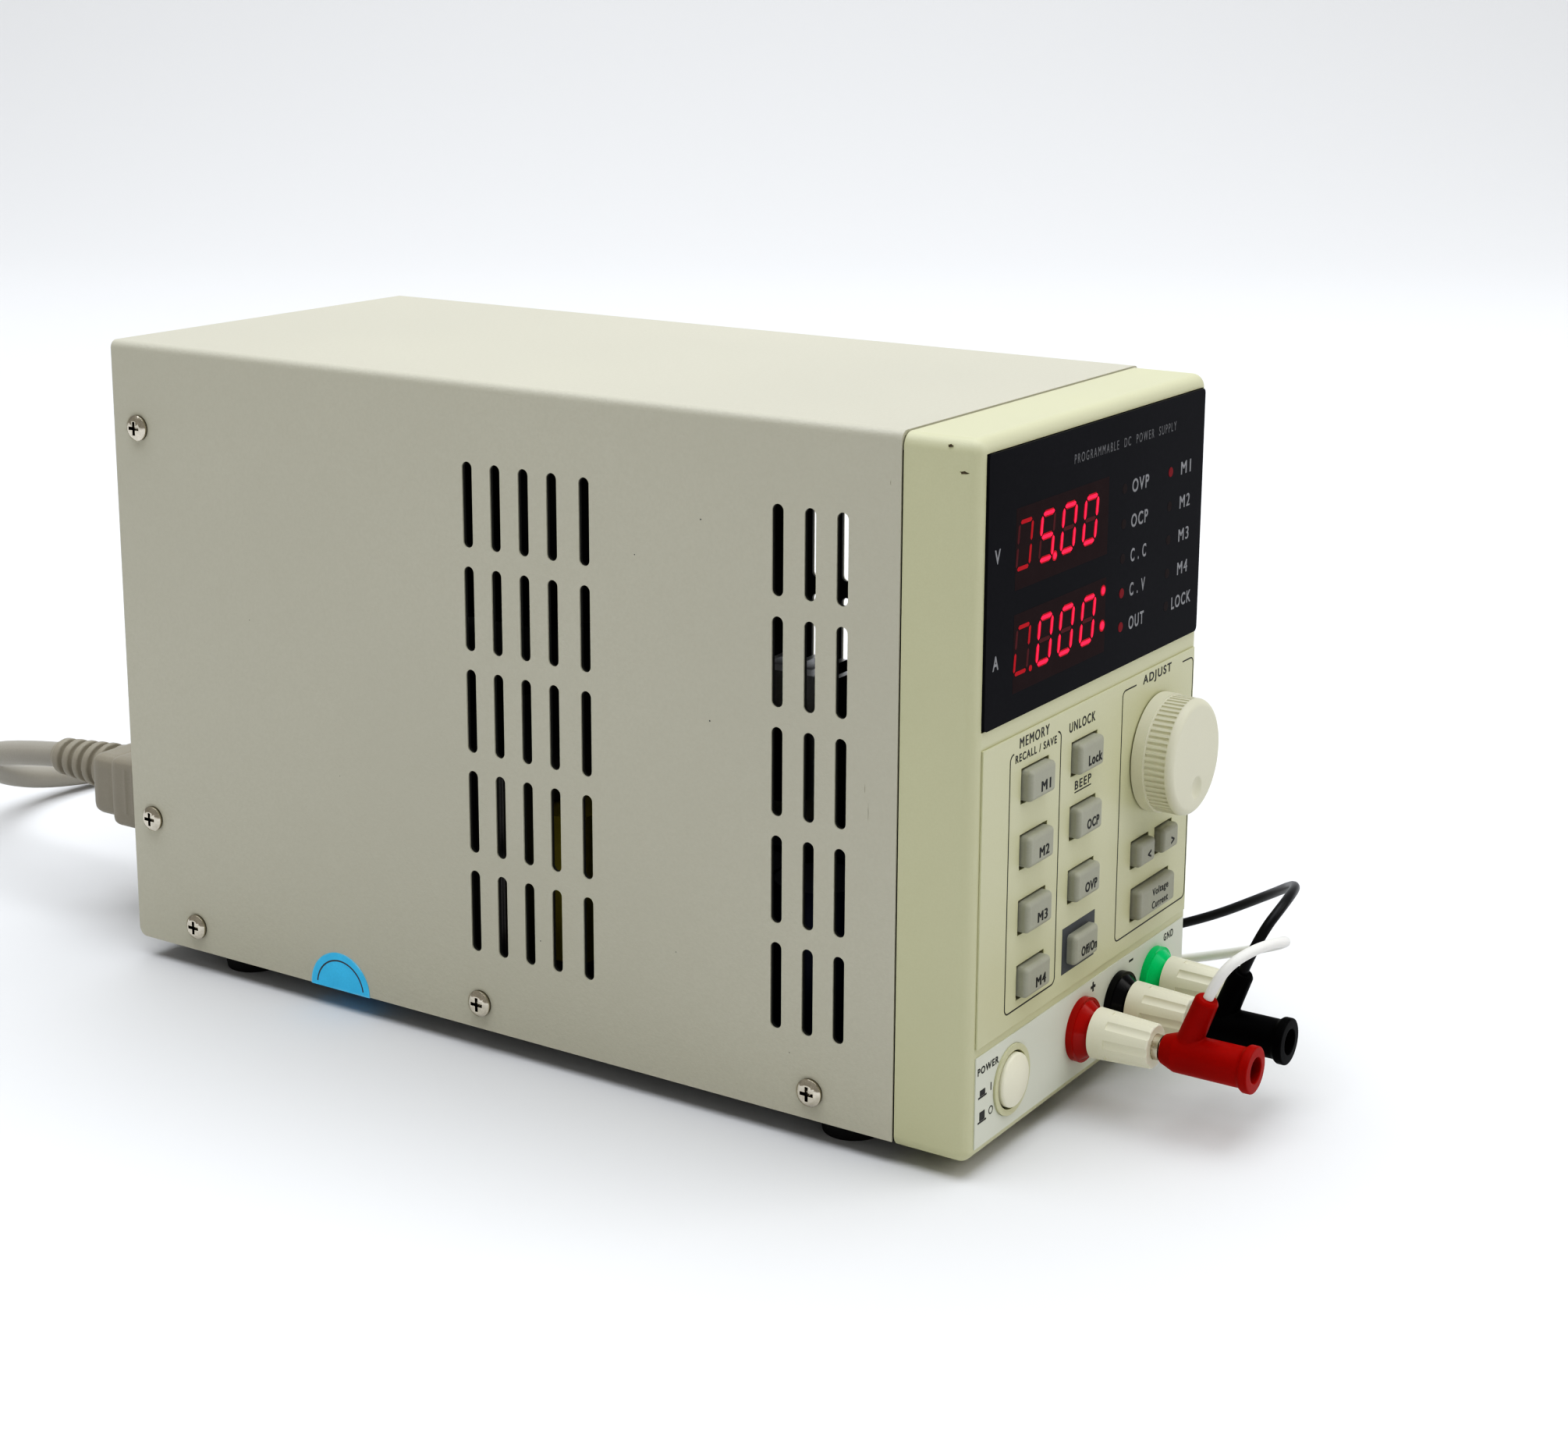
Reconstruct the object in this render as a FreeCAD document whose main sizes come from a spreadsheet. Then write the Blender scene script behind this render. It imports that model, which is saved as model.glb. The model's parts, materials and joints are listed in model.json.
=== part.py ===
"""Bench power supply: a parametric FreeCAD model, one object for each separate piece.

The model stands on its feet at z = 0 with its front towards -Y and its right side towards +X.
"""
import FreeCAD, Part
import math
import os
import re

import Sketcher
from FreeCAD import Placement, Rotation, Vector

SIZES = {
    # Case
    "case_width": 110, "case_depth": 228, "case_height": 156, "skin": 1.2, "bend": 2, "flap_round": 2.5,
    "base_z": 5.5, "seam_y": -96.45, "front_y": -114.75, "back_y": 131.55, "panel_inset": 1,
    "flange_tall": 14,
    # Cooling slots in both sides
    "slot_width": 2.85, "slot_length": 20.09, "slot_pitch": 24.48, "slot_top": 142.9, "slot_rows": 5,
    # Front moulding
    "bezel_width": 109.6, "bezel_tall": 157, "bezel_z": 4.2, "bezel_wall": 2.4, "bezel_round": 3,
    "boss": 3, "board_gap": 13, "seam_gap": 0.35, "lip_deep": 3, "lip_wall": 1.6,
    # Display window
    "lens_width": 104.4, "lens_tall": 58.4, "lens_z": 99.75, "lens_proud": 0.6, "lens_deep": 1.2,
    "window_rim": 3,
    # Raised control field and terminal label
    "field_width": 103.8, "field_z": 29.9, "field_tall": 65.95, "field_proud": 0.5,
    "label_width": 103.6, "label_z": 7.15, "label_tall": 20.8, "label_proud": 0.3,
    # Keys
    "key_gap": 0.45, "key_proud": 2.8, "key_round": 1.1, "key_flange": 0.9, "key_length": 10.1,
    "key_wide": 12.5, "key_tall": 7.9, "key_pitch": 14.8, "key_top_z": 83.85, "memory_x": -28.7,
    "function_x": -5.4, "step_wide": 9.4, "step_tall": 6.8, "step_left_x": 25, "step_right_x": 37.7,
    "step_z": 52.5, "select_wide": 20.3, "select_tall": 8.2, "select_x": 31.25, "select_z": 40,
    # Adjusting knob
    "knob_x": 32.2, "knob_z": 75, "knob_radius": 14.1, "knob_grip": 13.8, "knob_gap": 0.8,
    "knob_skirt": 2.9, "knob_length": 10.0, "knob_round": 1.8, "knob_ribs": 60, "rib_radius": 0.44,
    "dimple_radius": 5, "shaft_radius": 3, "shaft_fit": 0.05,
    # Mains push button
    "button_x": -35.9, "button_z": 17.65, "button_radius": 6.1, "button_proud": 2.6, "button_dome": 18,
    "ring_radius": 8, "ring_hole": 6.6, "ring_proud": 0.8,
    # Binding posts
    "post_x": 16.35, "post_pitch": 19.05, "post_z": 17.85, "post_reach": 20.8, "stud_radius": 2.9,
    "socket_radius": 2.05, "socket_deep": 17, "flange_radius": 7.5, "waist_radius": 5.2,
    "cap_start": 4.7, "cap_end": 19.2, "cap_radius": 5.9, "cap_tip_radius": 5.1, "cap_flutes": 8,
    "cap_round": 0.5, "flute_radius": 2, "flute_deep": 0.42,
    "insert_radius": 4.2, "insert_start": 7.2, "insert_length": 4, "thread_fit": 0.06,
    # Feet and screws
    "foot_radius": 8, "foot_x": 43, "foot_front": 17, "foot_back": 199, "screw_head": 3.2,
    "screw_shank": 1.5, "screw_hole": 1.7,
    # Rear
    "fan_x": 6, "fan_z": 112, "fan_size": 80, "fan_deep": 25, "fan_hole": 38.5, "fan_hub": 17,
    "guard_wire": 0.8, "guard_proud": 4, "fan_pitch": 35.75, "eyelet_radius": 2.9, "inlet_x": -25,
    "inlet_z": 36.5, "inlet_wide": 27.2, "inlet_tall": 19.8, "port_z": 36.5, "usb_x": 18, "serial_x": 38,
    # Inside
    "core_x": -11, "core_y": 35, "core_wide": 74, "core_deep": 40, "core_tall": 60, "sink_x": 40,
    "sink_y": 33, "sink_long": 120, "sink_tall": 72, "board_z": 14,
    # Leads
    "cord_radius": 3.5, "coil_x": 78, "coil_y": 200, "coil_inner": 26.5, "coil_outer": 47.5,
    "coil_tall": 14, "wire_radius": 1.2, "plug_radius": 4.6,
}

CASE_SCREWS = [(219.7, 134.7), (221, 33), (207, 6.5), (114, 6.5), (21, 6.5)]
SLOT_SIDES = {"left": 0, "right": -1.6}
SLOT_COLUMNS = [13.96, 21.96, 30.12, 81.48, 90.54, 98.58, 106.66, 114.74]
INLET_PINS = ((-7, -1), (7, -1), (0, -5))
MAINS_ROUTE = [
    (-25, 192.15, 36.5), (-24.6, 221, 33), (-9, 244, 20), (17, 254, 7.5), (47, 250.5, 3.5), (78, 244, 3.5),
]
RED_ROUTE = [
    (-2.7, -146.07, 32.09), (-2.7, -148.7, 39), (6.5, -152.8, 42.3), (24, -154, 39), (43, -143, 29),
    (56, -119, 17), (62, -90, 6), (63, -56, 1.2), (61.5, -15, 1.2), (64, 28, 1.2), (61.5, 62, 1.2),
    (63, 85, 1.2), (84, 98, 1.2), (106, 85, 1.2), (104.5, 57, 1.2), (106.5, 28, 1.2), (106, 4, 5),
]
BLACK_ROUTE = [
    (16.35, -146.07, 32.09), (16.35, -149.6, 41.5), (26, -152, 47.5), (45, -147, 45), (63, -133, 34),
    (74, -110, 19), (79, -80, 6), (78, -45, 1.2), (74.5, -4, 1.2), (76.5, 34, 1.2), (75, 58, 1.2),
    (76, 73.2, 1.2), (84.5, 79, 1.2), (93, 73, 1.2), (91.5, 48, 1.2), (93.5, 21, 1.2), (92.5, -3, 5),
]
ALONG = {
    "X": Rotation(Vector(0, 1, 0), 90),
    "Y": Rotation(Vector(1, 0, 0), -90),
    "-Y": Rotation(Vector(1, 0, 0), 90),
    "Z": Rotation(),
}

doc = FreeCAD.newDocument("bench_power_supply")
sheet = doc.addObject("Spreadsheet::Sheet", "Sizes")
for row, (size_name, number) in enumerate(SIZES.items(), 1):
    sheet.set(f"A{row}", size_name)
    sheet.set(f"B{row}", str(number))
    sheet.setAlias(f"B{row}", size_name)
doc.recompute()
nodes = []


def cells(text):
    """Point every size named in an expression at its cell in the sheet."""
    return re.sub(r"[a-z_]+", lambda word: f"Sizes.{word[0]}" if word[0] in SIZES else word[0], str(text))


def bind(thing, **links):
    for name, text in links.items():
        thing.setExpression(name, cells(text))
    return thing


def put(thing, x, y, z, turn=None):
    """Give an object its place from expressions, after an optional turn."""
    thing.Placement = Placement(Vector(), turn or Rotation())
    for letter, text in zip("xyz", (x, y, z)):
        thing.setExpression(f".Placement.Base.{letter}", cells(text))
    return thing


def keep(name, thing):
    """Make an object a node of the assembly."""
    thing.Label = name
    nodes.append(thing)
    return thing


def box(wide, deep, tall, x, y, z, turn=None):
    """A block centred on x, starting at y and z."""
    block = bind(doc.addObject("Part::Box", "block"), Length=wide, Width=deep, Height=tall)
    return put(block, f"({x}) - ({wide}) / 2", y, z, turn)


def rod(radius, length, x, y, z, along="Y"):
    """A cylinder that starts at a point and runs along an axis."""
    cylinder = bind(doc.addObject("Part::Cylinder", "rod"), Radius=radius, Height=length)
    return put(cylinder, x, y, z, ALONG[along])


def cone(start, end, length, x, y, z, along="Y"):
    thing = bind(doc.addObject("Part::Cone", "cone"), Radius1=start, Radius2=end, Height=length)
    return put(thing, x, y, z, ALONG[along])


def fuse(*pieces):
    union = doc.addObject("Part::MultiFuse", "union")
    union.Shapes = list(pieces)
    return union


def group(*pieces):
    """Several separate solids in one node."""
    bundle = doc.addObject("Part::Compound", "group")
    bundle.Links = list(pieces)
    return bundle


def cut(base, *tools):
    difference = doc.addObject("Part::Cut", "difference")
    difference.Base = base
    difference.Tool = tools[0] if len(tools) == 1 else fuse(*tools)
    return difference


def rounded(base, radius, wanted):
    """Fillet the edges whose boxes pass a test."""
    doc.recompute()
    fillet = doc.addObject("Part::Fillet", "rounded")
    fillet.Base = base
    size = SIZES.get(radius, radius)
    fillet.Edges = [(i, size, size) for i, edge in enumerate(base.Shape.Edges, 1) if wanted(edge.BoundBox)]
    return fillet


def new_body(name):
    return doc.addObject("PartDesign::Body", name)


def feature(body, kind, name, x=0, y=0, z=0, turn=None, **links):
    """A PartDesign primitive in a body, sized and placed from the sheet."""
    return put(bind(body.newObject(f"PartDesign::{kind}", name), **links), x, y, z, turn)


def origin_part(body, role):
    return next(part for part in body.Origin.OriginFeatures if part.Role == role)


def new_sketch(body, name, role):
    sketch = body.newObject("Sketcher::SketchObject", name)
    sketch.AttachmentSupport = (origin_part(body, role), [""])
    sketch.MapMode = "FlatFace"
    return sketch


def dimension(sketch, kind, *where, text):
    """Add one driving dimension and bind it to an expression."""
    index = sketch.addConstraint(Sketcher.Constraint(kind, *where))
    sketch.setExpression(f"Constraints[{index}]", cells(text))


def add_slot(sketch, across, top):
    """Draw one upright round-ended slot, fully dimensioned."""
    radius = SIZES["slot_width"] / 2
    high = SIZES["slot_top"] - radius
    low = SIZES["slot_top"] - SIZES["slot_length"] + radius
    up = Vector(0, 0, 1)
    lines = [
        Part.ArcOfCircle(Part.Circle(Vector(across, high, 0), up, radius), 0, math.pi),
        Part.LineSegment(Vector(across - radius, high, 0), Vector(across - radius, low, 0)),
        Part.ArcOfCircle(Part.Circle(Vector(across, low, 0), up, radius), math.pi, 2 * math.pi),
        Part.LineSegment(Vector(across + radius, low, 0), Vector(across + radius, high, 0)),
    ]
    arc, left, foot, right = sketch.addGeometry(lines)
    for one, end, other in ((arc, 2, left), (left, 2, foot), (foot, 2, right), (right, 2, arc)):
        sketch.addConstraint(Sketcher.Constraint("Tangent", one, end, other, 1))
    for end, height, text in ((arc, high, f"{top} - slot_width / 2"),
                              (foot, low, f"{top} - slot_length + slot_width / 2")):
        sketch.addConstraint(Sketcher.Constraint("DistanceX", -1, 1, end, 3, across))
        dimension(sketch, "DistanceY", -1, 1, end, 3, height, text=text)
        dimension(sketch, "Radius", end, radius, text="slot_width / 2")


def add_hole(sketch, across, high):
    circle = sketch.addGeometry(Part.Circle(Vector(across, high, 0), Vector(0, 0, 1), SIZES["screw_hole"]))
    sketch.addConstraint(Sketcher.Constraint("DistanceX", -1, 1, circle, 3, across))
    sketch.addConstraint(Sketcher.Constraint("DistanceY", -1, 1, circle, 3, high))
    dimension(sketch, "Radius", circle, SIZES["screw_hole"], text="screw_hole")


def cut_through(body, sketch, name, side="both"):
    """Pocket a sketch through the left, the right or both side walls of a body."""
    before = body.Shape.Volume
    pocket = body.newObject("PartDesign::Pocket", name)
    pocket.Profile = sketch
    pocket.Type = "ThroughAll"
    pocket.Midplane = side == "both"
    pocket.Reversed = side == "right"
    doc.recompute()
    assert body.Shape.Volume < before, f"{name} cut nothing"
    return pocket


def make_cover():
    """The folded sheet-metal cover: a top and two sides, slotted and drilled."""
    body = new_body("cover_body")
    blank = feature(body, "AdditiveBox", "blank", "-case_width / 2", "seam_y", "base_z",
                    Length="case_width", Width="case_depth", Height="case_height")
    doc.recompute()
    long_edges = [f"Edge{i}" for i, edge in enumerate(blank.Shape.Edges, 1)
                  if edge.BoundBox.YLength > SIZES["case_width"] and edge.BoundBox.ZMin > SIZES["case_width"]]
    bends = body.newObject("PartDesign::Fillet", "bends")
    bends.Base = (blank, long_edges)
    bind(bends, Radius="bend")
    feature(body, "SubtractiveBox", "inside", "skin - case_width / 2", "seam_y - skin", "base_z - skin",
            Length="case_width - 2 * skin", Width="case_depth + 2 * skin", Height="case_height")
    doc.recompute()
    lowest = SIZES["base_z"] + 0.01
    hollow = body.Tip
    rear_corners = [f"Edge{i}" for i, edge in enumerate(hollow.Shape.Edges, 1)
                    if edge.BoundBox.ZMax < lowest and edge.BoundBox.YMin > 0]
    flap_corners = body.newObject("PartDesign::Fillet", "flap_corners")
    flap_corners.Base = (hollow, rear_corners)
    bind(flap_corners, Radius="flap_round")
    doc.recompute()
    holes = new_sketch(body, "screw_holes", "YZ_Plane")
    for across, high in CASE_SCREWS:
        add_hole(holes, SIZES["seam_y"] + across, SIZES["base_z"] + high)
    cut_through(body, holes, "drilled")
    for side, shift in SLOT_SIDES.items():
        slots = new_sketch(body, f"slot_row_{side}", "YZ_Plane")
        for across in SLOT_COLUMNS:
            add_slot(slots, SIZES["seam_y"] + across + shift, "slot_top")
        top_row = cut_through(body, slots, f"top_row_{side}", side)
        rows = body.newObject("PartDesign::LinearPattern", f"slot_rows_{side}")
        rows.Originals = [top_row]
        rows.Direction = (slots, ["V_Axis"])
        rows.Reversed = True
        bind(rows, Length="slot_pitch * (slot_rows - 1)", Occurrences="slot_rows")
        body.Tip = rows
        doc.recompute()
    keep("cover", body)


def side_holes(places):
    """Rods that drill the screw holes across the whole width."""
    return [rod("screw_hole", "case_width", "-case_width / 2", f"seam_y + {across}", f"base_z + {high}", "X")
            for across, high in places]


def make_chassis():
    """The tray that closes the case from below, with its two upright flanges."""
    inner = "case_width - 2 * skin"
    start = "seam_y + lip_deep + 0.5"
    length = "case_depth - 2 * skin - lip_deep - 0.5"
    floor = box(inner, "case_depth - 2 * skin", "skin", 0, "seam_y", "base_z")
    left = box("skin", length, "flange_tall", "1.5 * skin - case_width / 2", start, "base_z")
    right = box("skin", length, "flange_tall", "case_width / 2 - 1.5 * skin", start, "base_z")
    holes = side_holes(CASE_SCREWS[2:])
    slots = [box(40, 3, 4, x, f"{y}", "base_z - 1") for x in (-24, 24) for y in (-70, -58, -46, 60, 72, 84)]
    keep("chassis_tray", cut(fuse(floor, left, right), *holes, *slots))


def make_rear_panel():
    face_y = "back_y - panel_inset - skin"
    plate = box("case_width - 2 * skin", "skin", "case_height - 2.2 * skin", 0, face_y, "base_z + skin")
    flanges = [box("skin", 14, "case_height - 2.2 * skin - 16", x, "back_y - panel_inset - 14", "base_z + 16")
               for x in ("1.5 * skin - case_width / 2", "case_width / 2 - 1.5 * skin")]
    openings = [
        rod("fan_hole - 0.5", 6, "fan_x", "back_y - 5", "fan_z"),
        box("inlet_wide", 6, "inlet_tall", "inlet_x", "back_y - 5", "inlet_z - inlet_tall / 2"),
        box(12.4, 6, 11.2, "usb_x", "back_y - 5", "port_z - 5.6"),
        box(19, 6, 10.6, "serial_x", "back_y - 5", "port_z - 5.3"),
    ]
    openings += [rod(1.6, 6, f"fan_x + {x}", "back_y - 5", f"fan_z + {z}") for x, z in fan_corners()]
    openings += [rod(1.6, 6, f"inlet_x + {x}", "back_y - 5", "inlet_z") for x in (-20, 20)]
    keep("rear_panel", cut(fuse(plate, *flanges), *openings, *side_holes(CASE_SCREWS[:2])))


def fan_corners():
    pitch = SIZES["fan_pitch"]
    return [(x, z) for x in (-pitch, pitch) for z in (-pitch, pitch)]


def key_places():
    """Every key with its opening: name, width, height, centre x, centre z."""
    keys = []
    for row, name in enumerate(("memory_one", "memory_two", "memory_three", "memory_four")):
        keys.append((f"key_{name}", "key_wide", "key_tall", "memory_x", f"key_top_z - {row} * key_pitch"))
    for row, name in enumerate(("lock", "current_limit", "voltage_limit", "output")):
        keys.append((f"key_{name}", "key_wide", "key_tall", "function_x", f"key_top_z - {row} * key_pitch"))
    keys.append(("key_step_left", "step_wide", "step_tall", "step_left_x", "step_z"))
    keys.append(("key_step_right", "step_wide", "step_tall", "step_right_x", "step_z"))
    keys.append(("key_select", "select_wide", "select_tall", "select_x", "select_z"))
    return keys


def post_places():
    return [(colour, f"post_x + {place} * post_pitch")
            for colour, place in (("red", -1), ("black", 0), ("green", 1))]


def key_openings(deep):
    return [box(wide, deep, tall, x, "front_y - 1", f"({z}) - {tall} / 2")
            for name, wide, tall, x, z in key_places()]


def make_bezel():
    """The hollow front moulding, with its window, key openings, bosses and button ring."""
    depth = "seam_y - seam_gap - front_y"
    block = box("bezel_width", depth, "bezel_tall", 0, "front_y", "bezel_z")
    front = SIZES["front_y"] + 0.01

    def on_front_or_side(bounds):
        return bounds.YMin < front and (bounds.YMax < front or bounds.YLength > 10)

    shell = rounded(block, "bezel_round", on_front_or_side)
    lip_wide = "case_width - 2 * skin - 0.4"
    lip_top = "base_z + case_height - skin - 0.2"
    lip_tall = f"{lip_top} - base_z - skin"
    lip = box(lip_wide, "lip_deep + seam_gap + 0.1", lip_tall, 0, "seam_y - seam_gap - 0.1", "base_z + skin")
    hollow = box(f"{lip_wide} - 2 * lip_wall", "lip_deep + seam_y - front_y", f"{lip_tall} - 2 * lip_wall",
                 0, "front_y + bezel_wall", "base_z + skin + lip_wall")
    bosses = [rod("boss", "board_gap - bezel_wall + 0.2", x, "front_y + bezel_wall - 0.2", z)
              for x in (-48.5, 48.5) for z in (34, 96)]
    ring = rod("ring_radius", "ring_proud + 1", "button_x", "front_y - ring_proud", "button_z")
    recess = box("lens_width", "lens_deep + 1", "lens_tall", 0, "front_y - 1", "lens_z")
    window = box("lens_width - 2 * window_rim", 6, "lens_tall - 2 * window_rim", 0, "front_y - 1",
                 "lens_z + window_rim")
    holes = [rod(4.2, 6, "knob_x", "front_y - 1", "knob_z"),
             rod("ring_hole", 6, "button_x", "front_y - ring_proud - 1", "button_z")]
    holes += [rod("waist_radius", 6, x, "front_y - 1", "post_z") for colour, x in post_places()]
    moulding = fuse(cut(fuse(shell, lip), hollow), *bosses, ring)
    keep("front_bezel", cut(moulding, recess, window, *holes, *key_openings(6)))


def make_front_plates():
    """The display lens, the raised control field and the terminal label."""
    lens = box("lens_width - 0.2", "lens_deep + lens_proud", "lens_tall - 0.2", 0, "front_y - lens_proud",
               "lens_z + 0.1")
    keep("display_lens", rounded(lens, 1.2, lambda bounds: 1 < bounds.YLength and bounds.XLength < 0.1
                                 and bounds.ZLength < 0.1))
    field = box("field_width", "field_proud", "field_tall", 0, "front_y - field_proud", "field_z")
    keep("control_field", cut(field, rod(4.2, 3, "knob_x", "front_y - 1", "knob_z"), *key_openings(3)))
    label = box("label_width", "label_proud", "label_tall", 0, "front_y - label_proud", "label_z")
    holes = [rod("ring_radius + 0.05", 3, "button_x", "front_y - 1", "button_z")]
    holes += [rod("waist_radius", 3, x, "front_y - 1", "post_z") for colour, x in post_places()]
    keep("terminal_label", cut(label, *holes))


def make_keys():
    """Soft-cornered caps with a retaining flange and a plunger, each free to slide inwards."""
    for name, wide, tall, x, z in key_places():
        cap_tall = f"{tall} - 2 * key_gap"
        cap = box(f"{wide} - 2 * key_gap", "key_proud + bezel_wall + 0.6", cap_tall, x,
                  "front_y - key_proud", f"({z}) - ({cap_tall}) / 2")
        soft = rounded(cap, "key_round", lambda bounds: bounds.YMin < SIZES["front_y"] - 2)
        flange = box(f"{wide} + 2 * key_flange", 1, f"{tall} + 2 * key_flange", x,
                     "front_y + bezel_wall + 0.4", f"({z}) - ({tall}) / 2 - key_flange")
        plunger = rod(1.6, "key_length - key_proud - bezel_wall", x, "front_y + bezel_wall", z)
        keep(name, fuse(soft, flange, plunger))


def make_knob():
    """The ribbed adjusting knob and the steel shaft that carries it."""
    body = new_body("knob_body")
    feature(body, "AdditiveCylinder", "skirt", Radius="knob_radius", Height="knob_skirt")
    grip = feature(body, "AdditiveCylinder", "grip", Radius="knob_grip", Height="knob_length")
    doc.recompute()
    rim = [f"Edge{i}" for i, edge in enumerate(grip.Shape.Edges, 1)
           if edge.BoundBox.ZMin > SIZES["knob_length"] - 0.1 and edge.BoundBox.XLength > 20]
    front_round = body.newObject("PartDesign::Fillet", "front_round")
    front_round.Base = (grip, rim)
    bind(front_round, Radius="knob_round")
    doc.recompute()
    feature(body, "SubtractiveSphere", "dimple", 0.8, -7.4, "knob_length + dimple_radius - 0.9",
            Radius="dimple_radius")
    feature(body, "SubtractiveCylinder", "shaft_bore", 0, 0, -1, Radius="shaft_radius", Height=9)
    groove = feature(body, "SubtractiveCylinder", "groove", "knob_grip + 0.05", 0, "knob_skirt + 0.3",
                     Radius="rib_radius", Height="knob_length - knob_round - knob_skirt - 0.3")
    doc.recompute()
    ribs = body.newObject("PartDesign::PolarPattern", "ribs")
    ribs.Originals = [groove]
    ribs.Axis = (origin_part(body, "Z_Axis"), [""])
    ribs.Angle = 360
    bind(ribs, Occurrences="knob_ribs")
    body.Tip = ribs
    put(body, "knob_x", "front_y - knob_gap", "knob_z", ALONG["-Y"])
    keep("adjust_knob", body)
    keep("encoder_shaft", rod("shaft_radius", 20, "knob_x", "front_y - knob_gap - 8", "knob_z"))


def make_power_button():
    """The domed mains button, latched in, with the stem that enters the switch."""
    tip = SIZES["front_y"] - SIZES["button_proud"]
    cap = rod("button_radius", "button_proud + 5.5", "button_x", "front_y - button_proud", "button_z")
    ball = bind(doc.addObject("Part::Sphere", "ball"), Radius="button_dome")
    dome = doc.addObject("Part::Common", "dome")
    dome.Base = cap
    dome.Tool = put(ball, "button_x", "front_y - button_proud + button_dome", "button_z")
    soft = rounded(dome, 0.7, lambda bounds: bounds.XLength > 10 and bounds.YMax < tip + 3)
    stem = box(4, 16, 4, "button_x", "front_y + 5", "button_z - 2")
    keep("power_button", fuse(soft, stem))
    switch = box(14, 24, 14, "button_x", "front_y + 14", "button_z - 7")
    bracket = box(14, "front_y + 38 - seam_y - lip_deep - 0.5", "button_z - 7 - base_z - skin + 0.1",
                  "button_x", "seam_y + lip_deep + 0.5", "base_z + skin")
    stem_hole = box(4.8, 10, 4.8, "button_x", "front_y + 13", "button_z - 2.4")
    keep("power_switch", cut(fuse(switch, bracket), stem_hole))


def make_posts():
    """Three binding posts: insulating collar, threaded stud, brass insert and screw cap."""
    studs = []
    for colour, x in post_places():
        flange = rod("flange_radius", 1.6, x, "front_y - label_proud - 1.6", "post_z")
        waist = cone(5, "flange_radius - 0.6", 2.6, x, "front_y - cap_start + 0.3", "post_z")
        spigot = rod("waist_radius - 0.1", 9, x, "front_y - 1", "post_z")
        bore = rod("stud_radius", 20, x, "front_y - 6", "post_z")
        keep(f"post_collar_{colour}", cut(fuse(flange, waist, spigot), bore))
        stud = rod("stud_radius", "post_reach + 20", x, "front_y - post_reach", "post_z")
        nut = rod(5, 3, x, "front_y + 8", "post_z")
        socket = rod("socket_radius", "socket_deep", x, "front_y - post_reach", "post_z")
        studs.append(cut(fuse(stud, nut), socket))
        insert = rod("insert_radius", "insert_length", x, "front_y - insert_start - insert_length", "post_z")
        thread = rod("stud_radius + thread_fit", 6, x, "front_y - insert_start - insert_length - 1", "post_z")
        keep(f"post_insert_{colour}", cut(insert, thread))
        keep(f"post_cap_{colour}", make_post_cap(x))
    keep("post_studs", group(*studs))


def make_post_cap(x):
    body = new_body("cap_body")
    taper = feature(body, "AdditiveCone", "taper", Radius1="cap_radius", Radius2="cap_tip_radius",
                    Height="cap_end - cap_start")
    doc.recompute()
    tip = [f"Edge{i}" for i, edge in enumerate(taper.Shape.Edges, 1)
           if edge.BoundBox.ZMin > SIZES["cap_end"] - SIZES["cap_start"] - 0.1]
    rim = body.newObject("PartDesign::Fillet", "rim")
    rim.Base = (taper, tip)
    bind(rim, Radius="cap_round")
    feature(body, "SubtractiveCylinder", "bore", 0, 0, -1, Radius="stud_radius + thread_fit", Height=18)
    feature(body, "SubtractiveCylinder", "insert_seat", 0, 0, -1, Radius="insert_radius + thread_fit",
            Height="insert_start - cap_start + insert_length + 1.1")
    slope = math.atan2(SIZES["cap_radius"] - SIZES["cap_tip_radius"], SIZES["cap_end"] - SIZES["cap_start"])
    lean = Rotation(Vector(0, 1, 0), -math.degrees(slope))
    flute = feature(body, "SubtractiveCylinder", "flute", "cap_radius + flute_radius - flute_deep - 0.2",
                    0, 4, lean, Radius="flute_radius", Height=14)
    doc.recompute()
    flutes = body.newObject("PartDesign::PolarPattern", "flutes")
    flutes.Originals = [flute]
    flutes.Axis = (origin_part(body, "Z_Axis"), [""])
    flutes.Angle = 360
    bind(flutes, Occurrences="cap_flutes")
    body.Tip = flutes
    return put(body, x, "front_y - cap_start", "post_z", ALONG["-Y"])


def make_front_electronics():
    """The control board with its displays, indicators, key switches and encoder."""
    face = "front_y + board_gap"
    keep("control_board", box(102, 1.6, 120, 0, face, 32))
    displays = [box(42, "board_gap - 2", 17.5, -17, "front_y + 2", z) for z in (127.6, 105.4)]
    keep("digit_displays", group(*displays))
    lamps = [rod(1.5, 8, x, "front_y + board_gap - 8", 140.9 - 7.9 * row)
             for x in (10.6, 34.4) for row in range(5)]
    keep("indicator_lamps", group(*lamps))
    switches = []
    for name, wide, tall, x, z in key_places():
        case = box(6, 3.5, 6, x, f"{face} - 3.5", f"({z}) - 3")
        switches.append(fuse(case, rod(1.75, 1, x, f"{face} - 4.3", z)))
    keep("key_switches", group(*switches))
    encoder = fuse(box(12, 6.5, 12, "knob_x", f"{face} - 6.5", "knob_z - 6"),
                   rod(3.9, 4, "knob_x", f"{face} - 10", "knob_z"))
    bore = rod("shaft_radius + shaft_fit", 9.4, "knob_x", f"{face} - 10.4", "knob_z")
    keep("encoder_body", cut(encoder, bore))


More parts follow.
